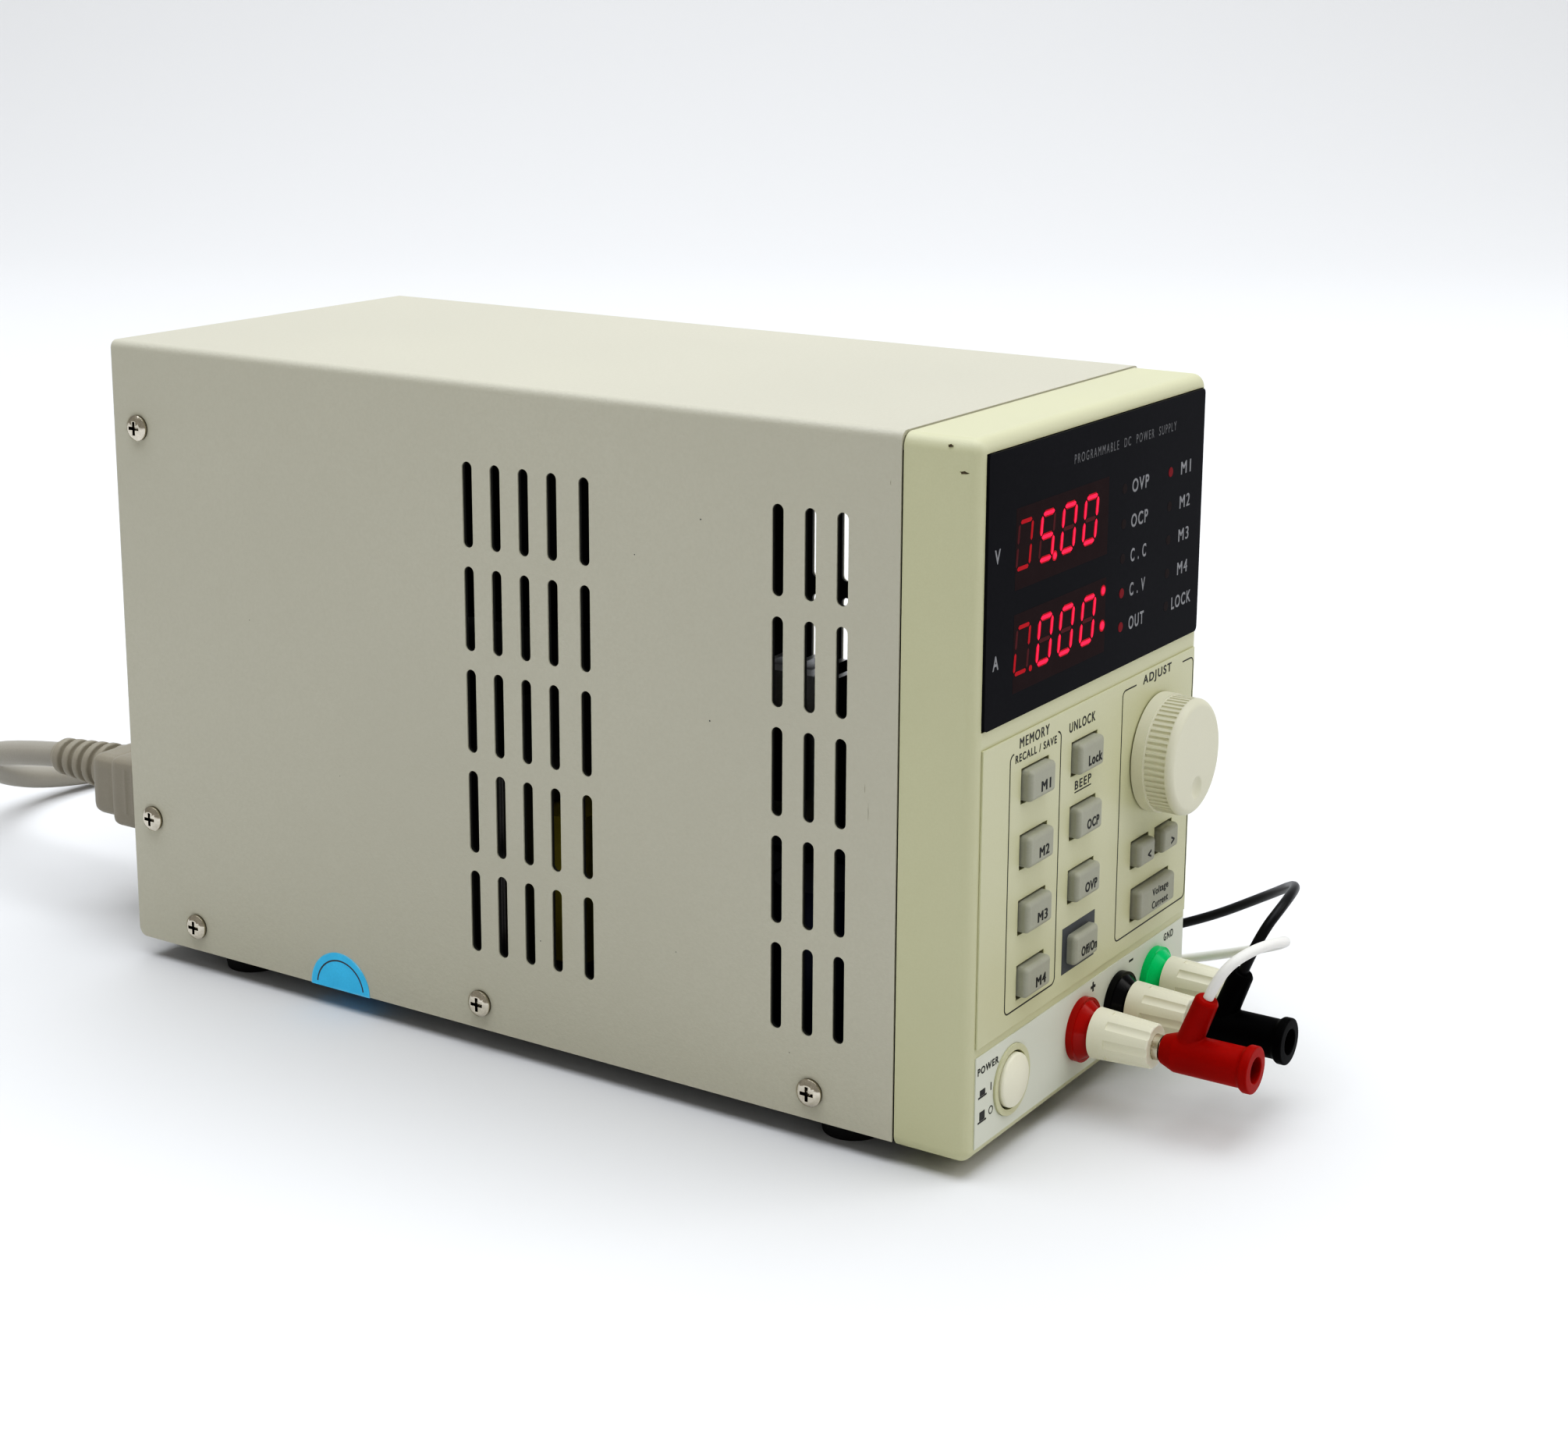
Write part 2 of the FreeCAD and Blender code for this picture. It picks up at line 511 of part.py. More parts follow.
def make_transformer():
    """A laminated core with two windows, and the taped winding round its middle leg."""
    top = "base_z + skin"
    block = box("core_wide", "core_deep", "core_tall", "core_x", "core_y - core_deep / 2", top)
    windows = [box(13, "core_deep + 2", 38, f"core_x + {x}", "core_y - core_deep / 2 - 1", f"{top} + 11")
               for x in (-19.5, 19.5)]
    keep("transformer_core", cut(block, *windows))
    coil = rounded(box(50, 66, 36.6, "core_x", "core_y - 33", f"{top} + 11.7"), 4,
                   lambda bounds: bounds.ZLength > 30)
    leg = box(26.4, "core_deep", 40, "core_x", "core_y - core_deep / 2", f"{top} + 10")
    keep("transformer_winding", cut(coil, leg))


def make_power_stage():
    """The finned heat sink with its transistors, and the main board with its capacitors."""
    top = "base_z + skin"
    base = box(5, "sink_long", "sink_tall", "sink_x - 6", "sink_y - sink_long / 2", top)
    start = "sink_y - sink_long / 2"
    fins = [box(15, 2, "sink_tall", "sink_x + 3", f"{start} + {step} * (sink_long - 2) / 15", top)
            for step in range(16)]
    keep("heat_sink", fuse(base, *fins))
    devices = [box(5, 16, 21, "sink_x - 11", f"sink_y - 52 + {step} * 26", 46) for step in range(4)]
    keep("power_transistors", group(*devices))
    posts = [rod(3, f"board_z - base_z - skin", x, y, top, "Z") for x in (-44, 44) for y in (-70, -36)]
    keep("main_board", fuse(box(98, 44, 1.6, 0, -76, "board_z"), *posts))
    cans = [rod(10.5, 36, x, -62 + 22 * row, "board_z + 1.6", "Z") for x in (-30, -6) for row in range(2)]
    cans += [rod(6.5, 22, 22, -60, "board_z + 1.6", "Z"), rod(6.5, 22, 38, -60, "board_z + 1.6", "Z")]
    keep("filter_capacitors", group(*cans))


def make_fan():
    """The cooling fan: square frame with its motor mount, bladed rotor and wire guard."""
    back = "back_y - panel_inset - skin"
    shell = box("fan_size", "fan_deep", "fan_size", "fan_x", f"{back} - fan_deep", "fan_z - fan_size / 2")
    duct = rod("fan_hole", "fan_deep + 2", "fan_x", f"{back} - fan_deep - 1", "fan_z")
    mount = rod("fan_hub - 1", 4, "fan_x", f"{back} - 4", "fan_z")
    struts = [turned_bar(f"{back} - 4", angle) for angle in (30, 150, 270)]
    holes = [rod(1.56, 6, "fan_x", f"{back} - 5", "fan_z")]
    holes += [rod("screw_hole", "fan_deep + 2", f"fan_x + {x}", f"{back} - fan_deep - 1", f"fan_z + {z}")
              for x, z in fan_corners()]
    keep("fan_frame", cut(fuse(cut(shell, duct), mount, *struts), *holes))
    hub = rod("fan_hub", 16, "fan_x", f"{back} - fan_deep + 2", "fan_z")
    pin = rod(1.5, 8, "fan_x", f"{back} - 9", "fan_z")
    keep("fan_rotor", fuse(hub, pin, *[fan_blade(360 * step / 7) for step in range(7)]))
    keep("fan_guard", make_guard())


def turned_bar(y, angle):
    """A strut from the fan's motor mount out to its frame."""
    spin = Rotation(Vector(0, 1, 0), angle)
    start = spin.multVec(Vector(14, 0, -2))
    bar = bind(doc.addObject("Part::Box", "strut"), Length="fan_hole - 13", Width=4, Height=4)
    return put(bar, f"fan_x + {start.x:.4f}", y, f"fan_z + {start.z:.4f}", spin)


def fan_blade(angle):
    spin = Rotation(Vector(0, 1, 0), angle) * Rotation(Vector(1, 0, 0), 38)
    start = spin.multVec(Vector(15, -1, -10))
    blade = bind(doc.addObject("Part::Box", "blade"), Length=21, Width=1.8, Height=18)
    middle = f"back_y - panel_inset - skin - fan_deep + 10 + {start.y:.4f}"
    return put(blade, f"fan_x + {start.x:.4f}", middle, f"fan_z + {start.z:.4f}", spin)


def make_guard():
    """Four wire rings on crossed spokes that step down to an eyelet at each corner screw."""
    plane = "back_y + guard_proud - guard_wire"
    foot = "back_y - panel_inset + guard_wire"
    wires = [ring(radius, "fan_x", plane, "fan_z") for radius in (9, 18.5, 28, 37.5)]
    for x, z in fan_corners():
        reach = math.hypot(x, z) - SIZES["screw_head"] - SIZES["guard_wire"] - 0.1
        outward = Vector(x, 0, z).normalize()
        spoke = bind(doc.addObject("Part::Cylinder", "spoke"), Radius="guard_wire", Height=reach)
        wires.append(put(spoke, "fan_x", plane, "fan_z", Rotation(Vector(0, 0, 1), outward)))
        wires.append(rod("guard_wire", "guard_proud + panel_inset - 2 * guard_wire",
                         f"fan_x + {outward.x * reach:.4f}", foot, f"fan_z + {outward.z * reach:.4f}"))
        wires.append(ring("eyelet_radius", f"fan_x + {x}", foot, f"fan_z + {z}"))
    return fuse(*wires)


def ring(radius, x, y, z):
    """A wire ring that faces the back."""
    torus = bind(doc.addObject("Part::Torus", "ring"), Radius1=radius, Radius2="guard_wire")
    return put(torus, x, y, z, ALONG["Y"])


def make_rear_sockets():
    """The mains inlet and the two data sockets."""
    face = "back_y - panel_inset"
    flange = box(50, 2.4, 23, "inlet_x", face, "inlet_z - 11.5")
    shell = box("inlet_wide - 0.2", 20, "inlet_tall - 0.2", "inlet_x", f"{face} - 19",
                "inlet_z - inlet_tall / 2 + 0.1")
    cavity = box(24.6, 19.4, 16.6, "inlet_x", f"{face} - 16", "inlet_z - 8.3")
    holes = [rod(1.6, 6, f"inlet_x + {x}", f"{face} - 1", "inlet_z") for x in (-20, 20)]
    pins = [box(2, 15, 4, f"inlet_x + {x}", f"{face} - 17", f"inlet_z + {z}") for x, z in INLET_PINS]
    keep("mains_inlet", fuse(cut(fuse(flange, shell), cavity, *holes), *pins))
    usb = cut(box(12, 16, 10.8, "usb_x", f"{face} - 15", "port_z - 5.4"),
              box(9, 12, 8.2, "usb_x", f"{face} - 10.5", "port_z - 4.1"))
    tongue = box(5.6, 8.5, 3.2, "usb_x", f"{face} - 10.5", "port_z + 0.9")
    serial = cut(box(18.6, 12, 10.2, "serial_x", f"{face} - 8", "port_z - 5.1"),
                 box(16.8, 7, 8.4, "serial_x", f"{face} - 1.5", "port_z - 4.2"))
    keep("data_sockets", group(fuse(usb, tongue), serial))


def screw(x, y, z, along, length):
    """A pan-head screw with a cross recess; its head stands out along an axis."""
    outward = {"X": Vector(1, 0, 0), "-X": Vector(-1, 0, 0), "Y": Vector(0, 1, 0)}[along]
    turn = Rotation(Vector(0, 0, 1), outward)
    parts = []
    for kind, start, links in (
            ("Part::Cylinder", -length, {"Radius": "screw_shank", "Height": length}),
            ("Part::Cylinder", 0, {"Radius": "screw_head", "Height": 0.8}),
            ("Part::Cone", 0.8, {"Radius1": "screw_head", "Radius2": "screw_head - 1.1", "Height": 0.8})):
        piece = bind(doc.addObject(kind, "screw_part"), **links)
        shift = outward * start
        parts.append(put(piece, f"({x}) + {shift.x}", f"({y}) + {shift.y}", f"({z}) + {shift.z}", turn))
    recess = []
    for wide, tall in ((3.4, 0.8), (0.8, 3.4)):
        bar = bind(doc.addObject("Part::Box", "recess"), Length=wide, Width=tall, Height=1.4)
        shift = outward * 0.6 + turn.multVec(Vector(-wide / 2, -tall / 2, 0))
        place = [f"({start}) + {step:.4f}" for start, step in zip((x, y, z), shift)]
        recess.append(put(bar, *place, turn))
    return cut(fuse(*parts), *recess)


def make_fasteners():
    screws = []
    for across, high in CASE_SCREWS:
        screws.append(screw("case_width / 2", f"seam_y + {across}", f"base_z + {high}", "X", 5))
        screws.append(screw("-case_width / 2", f"seam_y + {across}", f"base_z + {high}", "-X", 5))
    for x, z in fan_corners():
        screws.append(screw(f"fan_x + {x}", "back_y - panel_inset + 1.6", f"fan_z + {z}", "Y", 9))
    for x in (-20, 20):
        screws.append(screw(f"inlet_x + {x}", "back_y - panel_inset + 2.4", "inlet_z", "Y", 7))
    keep("case_screws", group(*screws))


def make_feet():
    feet = []
    for x in ("-foot_x", "foot_x"):
        for across in ("foot_front", "foot_back"):
            pad = cone("foot_radius - 1", "foot_radius", "base_z", x, f"seam_y + {across}", 0, "Z")
            feet.append(cut(pad, rod(3.2, 2.5, x, f"seam_y + {across}", 0, "Z")))
    keep("rubber_feet", group(*feet))


def make_sticker():
    """The round paper seal folded over the cover's lower left edge."""
    thin = 0.15
    place = "seam_y + 158.5"
    side = cut(rod(9.5, thin, f"-case_width / 2 - {thin}", place, "base_z", "X"),
               box(4, 24, 12, "-case_width / 2", f"{place} - 12", f"base_z - 12 - {thin}"))
    under = cut(rod(9.5, thin, "-case_width / 2", place, f"base_z - {thin}", "Z"),
                box(12, 24, 4, f"-case_width / 2 - 6 - {thin}", f"{place} - 12", "base_z - 2"))
    keep("seal_sticker", fuse(side, under))


def make_mains_connector():
    """The moulded socket plug in the inlet, with its ridged strain relief."""
    face = "back_y + 1.6"
    nose = box(24, 15, 16, "inlet_x", f"{face} - 15", "inlet_z - 8")
    slots = [box(3.2, 14.5, 5.2, f"inlet_x + {x}", f"{face} - 15.2", f"inlet_z + {z} - 0.6")
             for x, z in INLET_PINS]
    grip = rounded(box(28, 20, 20.3, "inlet_x", face, "inlet_z - 10.15"), 2.5,
                   lambda bounds: bounds.YLength > 15)
    neck = rounded(box(22, 12, 15, "inlet_x", f"{face} + 19.5", "inlet_z - 7.5"), 3,
                   lambda bounds: bounds.YLength > 10)
    relief = cone(5.4, 4.4, 28, "inlet_x", f"{face} + 31", "inlet_z")
    ridges = [rod(f"6.4 - {step} * 0.3", 2.6, "inlet_x", f"{face} + 33.5 + {step} * 4.4", "inlet_z")
              for step in range(5)]
    keep("mains_connector", fuse(cut(nose, *slots), grip, neck, relief, *ridges))


def make_mains_plug():
    """The far end's earthed plug, lying on the bench beside the coil."""
    x, z = "coil_x + 46", 11
    start = "coil_y - 30"
    relief = cone(6.2, 4.4, 28, x, f"{start} - 28", z)
    grip = rounded(box(26, 30, 22, x, f"{start} - 57", f"{z} - 11"), 5, lambda bounds: bounds.YLength > 20)
    blades = [box(1.5, 18, 6.4, f"{x} + {side}", f"{start} - 74", f"{z} + 1") for side in (-6.35, 6.35)]
    earth = rod(2.4, 20, x, f"{start} - 76", f"{z} - 6")
    keep("mains_plug", fuse(relief, grip, *blades, earth))


def unit(vector):
    return Vector(vector).normalize()


def tube(points, radius):
    """A round cord along straight runs joined by tangent arcs."""
    points = [Vector(*point) for point in points]
    edges = []
    last = points[0]
    for before, corner, after in zip(points, points[1:], points[2:]):
        back = unit(before - corner)
        ahead = unit(after - corner)
        half_turn = (math.pi - back.getAngle(ahead)) / 2
        reach = 0.45 * min((corner - before).Length, (after - corner).Length)
        bend = reach / math.tan(half_turn)
        middle = corner + unit(back + ahead) * (bend / math.cos(half_turn) - bend)
        start, end = corner + back * reach, corner + ahead * reach
        edges += [Part.LineSegment(last, start).toShape(), Part.Arc(start, middle, end).toShape()]
        last = end
        print(f"  bend radius {bend:.1f} mm, {bend / (2 * radius):.1f} diameters")
    edges.append(Part.LineSegment(last, points[-1]).toShape())
    path = Part.Wire(edges)
    circle = Part.Circle(points[0], points[1] - points[0], radius).toShape()
    solid = path.makePipeShell([Part.Wire([circle])], True, False)
    expected = math.pi * radius ** 2 * path.Length
    print(f"  cord length {path.Length:.1f} mm, volume ratio {solid.Volume / expected:.4f}")
    assert abs(solid.Volume / expected - 1) < 0.01
    return solid


def keep_cord(name, points, radius):
    thing = doc.addObject("Part::Feature", "cord")
    print(name)
    thing.Shape = tube(points, radius)
    thing.Placement = Placement()
    keep(name, thing)


def make_mains_cord():
    """The mains lead: a free run down to the bench, then a neat round coil."""
    keep_cord("mains_cord", MAINS_ROUTE, SIZES["cord_radius"])
    ring = cut(rod("coil_outer", "coil_tall", "coil_x", "coil_y", 0, "Z"),
               rod("coil_inner", "coil_tall", "coil_x", "coil_y", 0, "Z"))
    tail = rod("cord_radius", 30, "coil_x + 45.5", "coil_y - 30", "coil_tall - cord_radius - 0.4")
    keep("mains_coil", fuse(ring, tail))


def stacking_plug(x):
    """A stackable 4 mm plug with its side boot leaning outwards."""
    y = "front_y - 21.2"
    taper = cone(4.6, 3.4, 3.3, x, "front_y - 24.5", "post_z")
    sleeve = rod("plug_radius", 17, x, "front_y - 41.4", "post_z")
    rim = rod(5.3, 2, x, "front_y - 43.3", "post_z")
    pin = rod(2, 15, x, f"{y} - 1", "post_z")
    boot = bind(doc.addObject("Part::Cone", "boot"), Radius1=2.9, Radius2=2.6, Height=15.2)
    put(boot, x, "front_y - 26", "post_z", Rotation(Vector(0, 0, 1), Vector(0, -0.35, 0.937)))
    mouth = rod(2.95, 8, x, "front_y - 43.4", "post_z")
    jack = rod(2, 18, x, "front_y - 43.4", "post_z")
    return cut(fuse(taper, sleeve, rim, pin, boot), mouth, jack)


def make_leads():
    """Two stackable leads in the red and black posts, laid along the right of the case."""
    keep("red_lead_plug", stacking_plug("post_x - post_pitch"))
    keep("black_lead_plug", stacking_plug("post_x"))
    keep_cord("red_lead_wire", RED_ROUTE, SIZES["wire_radius"])
    keep_cord("black_lead_wire", BLACK_ROUTE, SIZES["wire_radius"])
    ends = []
    for x, y, z in (RED_ROUTE[-1], BLACK_ROUTE[-1]):
        sleeve = cone(4.9, 3.2, 32, x, y - 32, z)
        ends.append(fuse(sleeve, rod(2, 18, x, y - 49, z)))
    keep("lead_end_plugs", group(*ends))


def write_parts():
    """Check every object and every node, then write one STEP file for each node."""
    doc.recompute()
    for thing in doc.Objects:
        assert not {"Invalid", "Error"} & set(thing.State), f"{thing.Name} failed: {thing.State}"
    labels = [node.Label for node in nodes]
    assert len(set(labels)) == len(labels) <= 60, "node names repeat or are too many"
    for node in nodes:
        shape = node.Shape
        assert not shape.isNull() and shape.isValid() and shape.Volume > 0, f"{node.Label} is not sound"
    os.makedirs("parts", exist_ok=True)
    for node in nodes:
        node.Shape.exportStep(f"parts/{node.Label}.step")
    print(len(nodes), "nodes written")


make_cover()
make_chassis()
make_rear_panel()
make_bezel()
make_front_plates()
make_keys()
make_knob()
make_power_button()
make_posts()
make_front_electronics()
make_transformer()
make_power_stage()
make_fan()
make_rear_sockets()
make_fasteners()
make_feet()
make_sticker()
make_mains_connector()
make_mains_cord()
make_mains_plug()
make_leads()
write_parts()
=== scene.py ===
"""Looks for the bench power supply: view, light, cords, materials, printed graphics, fine detail.

Sizes are millimetres in the CAD model's frame and become metres where Blender needs them. The
front faces -Y, so a place on the front is given as (x, z).
"""
import json
import math

import bmesh
import bpy
from mathutils import Matrix, Vector


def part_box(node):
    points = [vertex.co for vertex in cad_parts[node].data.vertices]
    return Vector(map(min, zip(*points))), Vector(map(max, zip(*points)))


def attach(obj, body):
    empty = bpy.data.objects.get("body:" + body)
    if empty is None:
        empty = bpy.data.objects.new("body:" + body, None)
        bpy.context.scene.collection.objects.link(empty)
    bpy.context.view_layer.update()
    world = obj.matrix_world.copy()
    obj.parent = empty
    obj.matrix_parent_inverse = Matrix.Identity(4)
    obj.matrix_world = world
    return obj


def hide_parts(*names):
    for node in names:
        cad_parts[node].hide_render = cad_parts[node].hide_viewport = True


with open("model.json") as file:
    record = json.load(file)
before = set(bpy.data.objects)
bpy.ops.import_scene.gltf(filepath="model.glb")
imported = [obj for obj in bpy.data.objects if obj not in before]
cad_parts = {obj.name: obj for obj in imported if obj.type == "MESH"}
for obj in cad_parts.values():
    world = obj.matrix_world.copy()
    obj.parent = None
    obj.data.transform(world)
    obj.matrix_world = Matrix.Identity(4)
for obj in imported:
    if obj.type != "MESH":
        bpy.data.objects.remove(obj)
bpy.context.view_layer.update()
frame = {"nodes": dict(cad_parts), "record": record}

MM = 0.001
NODES = frame["nodes"]


def low(node):
    """The lowest corner of a CAD node, in millimetres."""
    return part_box(node)[0] / MM


def high(node):
    """The highest corner of a CAD node, in millimetres."""
    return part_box(node)[1] / MM


# The face of the front moulding, the axes of the two posts with leads, and the coil's middle
FRONT = -114.75
POST_X = {"red": -2.7, "black": 16.35}
POST_Z = 17.85
COIL_CENTRE = (78, 200)


# View, backdrop and light

CAMERA_PLACE = (-0.51925, -0.36921, 0.25626)
CAMERA_RIGHT = (0.53813, -0.84284, 0.00675)
CAMERA_UP = (0.18238, 0.12425, 0.97535)
AWAY = Vector((0.8437, 0.5368, 0))
WALL_DISTANCE = 4.2
TONE_CURVE = ((0.02, 0.007), (0.08, 0.045), (0.2, 0.165), (0.4, 0.4), (0.7, 0.7))


def make_camera():
    data = bpy.data.cameras.new("camera")
    data.sensor_width = 36
    data.lens = 61.58
    data.shift_x = -0.01489
    data.shift_y = -0.10298
    camera = bpy.data.objects.new("camera", data)
    right, up = Vector(CAMERA_RIGHT), Vector(CAMERA_UP)
    turn = Matrix((right, up, right.cross(up))).transposed().to_4x4()
    camera.matrix_world = Matrix.Translation(CAMERA_PLACE) @ turn
    bpy.context.scene.collection.objects.link(camera)
    bpy.context.scene.camera = camera


def make_backdrop():
    """A seamless white sweep: floor, a wide curve and a wall behind."""
    half_width, front_reach, curve, wall_top = 9, -5, 2.6, 6
    steps = 48
    bend_start = WALL_DISTANCE - curve
    profile = [(front_reach, 0), (bend_start, 0)]
    for step in range(1, steps + 1):
        angle = math.pi / 2 * step / steps
        profile.append((bend_start + curve * math.sin(angle), curve - curve * math.cos(angle)))
    profile.append((WALL_DISTANCE, wall_top))
    across = Vector((-AWAY.y, AWAY.x, 0)) * half_width
    mesh = bmesh.new()
    rows = []
    for reach, height in profile:
        middle = AWAY * reach + Vector((0, 0, height))
        rows.append([mesh.verts.new(middle + across * side) for side in (-1, 1)])
    for first, second in zip(rows, rows[1:]):
        mesh.faces.new((first[0], second[0], second[1], first[1])).smooth = True
    backdrop = shown("backdrop", mesh)
    paper = bpy.data.materials.new("backdrop_paper")
    paper.use_nodes = True
    shader = paper.node_tree.nodes["Principled BSDF"]
    shader.inputs["Base Color"].default_value = (0.715, 0.717, 0.727, 1)
    shader.inputs["Roughness"].default_value = 0.95
    shader.inputs["Specular IOR Level"].default_value = 0.1
    backdrop.data.materials.append(paper)


def make_light(name, place, size, power, colour, aim=(0, 0, 0.06)):
    data = bpy.data.lights.new(name, "AREA")
    data.shape = "RECTANGLE"
    data.size, data.size_y = size
    data.energy = power
    data.color = colour
    light = bpy.data.objects.new(name, data)
    light.location = place
    light.rotation_euler = (Vector(aim) - Vector(place)).to_track_quat("-Z", "Y").to_euler()
    bpy.context.scene.collection.objects.link(light)


def make_lights():
    world = bpy.data.worlds.new("studio")
    world.use_nodes = True
    background = world.node_tree.nodes["Background"]
    background.inputs["Color"].default_value = (1, 0.98, 0.94, 1)
    background.inputs["Strength"].default_value = 0.35
    bpy.context.scene.world = world
    set_tone_curve()
    make_light("front_box", (0.9, -1.6, 1.3), (1.6, 1.2), 12.5, (1, 0.985, 0.96))
    make_light("top_box", (0, 0.05, 2.3), (2.6, 2.6), 79, (0.925, 0.96, 1))
    make_light("wall_box", AWAY * 1.5 + Vector((0, 0, 2.9)), (4, 1), 42, (0.96, 0.98, 1),
               AWAY * WALL_DISTANCE + Vector((0, 0, 0.5)))


def set_tone_curve():
    """A camera's ordinary contrast: deep shadows, with mid tones and lights left as they are."""
    view = bpy.context.scene.view_settings
    view.view_transform = "Standard"
    view.use_curve_mapping = True
    combined = view.curve_mapping.curves[3]
    for light_in, light_out in TONE_CURVE:
        combined.points.new(light_in, light_out)
    view.curve_mapping.update()


# Materials

# Most values of a noise lie in this range
NOISE_RANGE = (0.3, 0.7)


def link_or_set(tree, socket, value):
    if isinstance(value, bpy.types.NodeSocket):
        tree.links.new(value, socket)
    else:
        socket.default_value = value


def add(tree, kind, inputs, **settings):
    """Add a shader node, set its options, and link or set its inputs."""
    node = tree.nodes.new("ShaderNode" + kind)
    for name, value in settings.items():
        setattr(node, name, value)
    for name, value in inputs.items():
        link_or_set(tree, node.inputs[name], value)
    return node


def noise_at(tree, scale, detail=3, roughness=0.55):
    """Noise whose scale is in cycles per metre of the object."""
    place = add(tree, "TexCoord", {}).outputs["Object"]
    inputs = {"Vector": place, "Scale": scale, "Detail": detail, "Roughness": roughness}
    return add(tree, "TexNoise", inputs).outputs["Fac"]


def spread(tree, value, from_low, from_high, to_low, to_high):
    """Map one range of a value to another, and hold it inside that."""
    limits = {"Value": value, "From Min": from_low, "From Max": from_high,
              "To Min": to_low, "To Max": to_high}
    return add(tree, "MapRange", limits).outputs["Result"]


def mixed(tree, share, first, second):
    """Mix two colours, each a socket or three numbers; share is how much of the second shows."""
    node = add(tree, "Mix", {}, data_type="RGBA")
    link_or_set(tree, node.inputs["Factor"], share)
    for index, colour in ((6, first), (7, second)):
        linked = isinstance(colour, bpy.types.NodeSocket)
        link_or_set(tree, node.inputs[index], colour if linked else (*colour, 1))
    return node.outputs[2]


def shade(colour, factor):
    return tuple(min(1, part * factor) for part in colour)


def make_material(name, colour, roughness, vary=0.05, patch=25, grain=2200, relief=0.03,
                  edge_wear_and_highlight=None, recess_shade=None, gloss=0.2, metallic=0):
    """A Principled material whose colour, roughness and fine relief all vary a little.

    patch and grain are noise scales in cycles per metre, relief is the depth of the grain in
    millimetres, gloss is the specular level, the edge colour is painted along sharp edges, as
    rubbed wear on paint and sticker and as a painted highlight on the keys, and the recess colour
    is painted shade that darkens fine recesses.
    """
    material = bpy.data.materials.new(name)
    material.use_nodes = True
    tree = material.node_tree
    shader = tree.nodes["Principled BSDF"]
    patches = noise_at(tree, patch)
    grains = noise_at(tree, grain, 2)
    share = spread(tree, patches, *NOISE_RANGE, 0, 1)
    broad = mixed(tree, share, shade(colour, 1 - vary), shade(colour, 1 + vary))
    share = spread(tree, grains, 0.35, 0.65, 0, 0.5)
    fine = mixed(tree, share, broad, shade(colour, 1 - 1.6 * vary))
    # an edge colour: rubbed wear on paint and sticker, a painted highlight on the keys
    if edge_wear_and_highlight:
        fine = mixed(tree, edge_mask(tree), fine, edge_wear_and_highlight)
    # painted shade: darker where ambient occlusion finds fine recesses
    if recess_shade:
        hidden = add(tree, "AmbientOcclusion", {"Distance": 1.2 * MM}, samples=6)
        fine = mixed(tree, spread(tree, hidden.outputs["AO"], 0.45, 0.8, 1, 0), fine, recess_shade)
    tree.links.new(fine, shader.inputs["Base Color"])
    rough = spread(tree, patches, *NOISE_RANGE, roughness * 0.88, min(1, roughness * 1.12))
    tree.links.new(rough, shader.inputs["Roughness"])
    bump = add(tree, "Bump", {"Height": grains, "Distance": relief * MM, "Strength": 1})
    tree.links.new(bump.outputs["Normal"], shader.inputs["Normal"])
    shader.inputs["Metallic"].default_value = metallic
    shader.inputs["Specular IOR Level"].default_value = 0.5 if metallic else gloss
    return material


def edge_mask(tree, width=0.6):
    """One along sharp edges, broken up by noise, and nothing on flat ground."""
    rounded = add(tree, "Bevel", {"Radius": width * MM}, samples=4)
    flat = add(tree, "NewGeometry", {})
    same = add(tree, "VectorMath", {0: rounded.outputs["Normal"], 1: flat.outputs["Normal"]},
               operation="DOT_PRODUCT")
    edge = spread(tree, same.outputs["Value"], 0.97, 0.75, 0, 1)
    patchy = spread(tree, noise_at(tree, 260), 0.45, 0.7, 0, 0.55)
    return add(tree, "Math", {0: edge, 1: patchy}, operation="MULTIPLY").outputs["Value"]


def paint_inside_shade(material, node, skin=0.4, fold=4):
    """Paint shade on a sheet cover: near black on its inner faces and on the walls of its slots.
    """
    tree = material.node_tree
    shader = tree.nodes["Principled BSDF"]
    place = add(tree, "TexCoord", {}).outputs["Object"]
    x, _, z = add(tree, "SeparateXYZ", {"Vector": place}).outputs
    across = add(tree, "Math", {0: x}, operation="ABSOLUTE").outputs["Value"]
    within = add(tree, "Math", {0: across, 1: (high(node).x - skin) * MM}, operation="LESS_THAN")
    below = add(tree, "Math", {0: z, 1: (high(node).z - fold) * MM}, operation="LESS_THAN")
    share = add(tree, "Math", {0: within.outputs["Value"], 1: below.outputs["Value"]},
                operation="MULTIPLY")
    paint = shader.inputs["Base Color"].links[0].from_socket
    # painted shade: inner faces and slot walls get a near-black colour
    dark = mixed(tree, share.outputs["Value"], paint, (0.045, 0.045, 0.04))
    tree.links.new(dark, shader.inputs["Base Color"])


def make_glow(name, colour, strength):
    material = make_material(name, shade(colour, 0.1), 0.35, vary=0.02, relief=0.005, gloss=0.05)
    shader = material.node_tree.nodes["Principled BSDF"]
    shader.inputs["Emission Color"].default_value = (*colour, 1)
    shader.inputs["Emission Strength"].default_value = strength
    return material


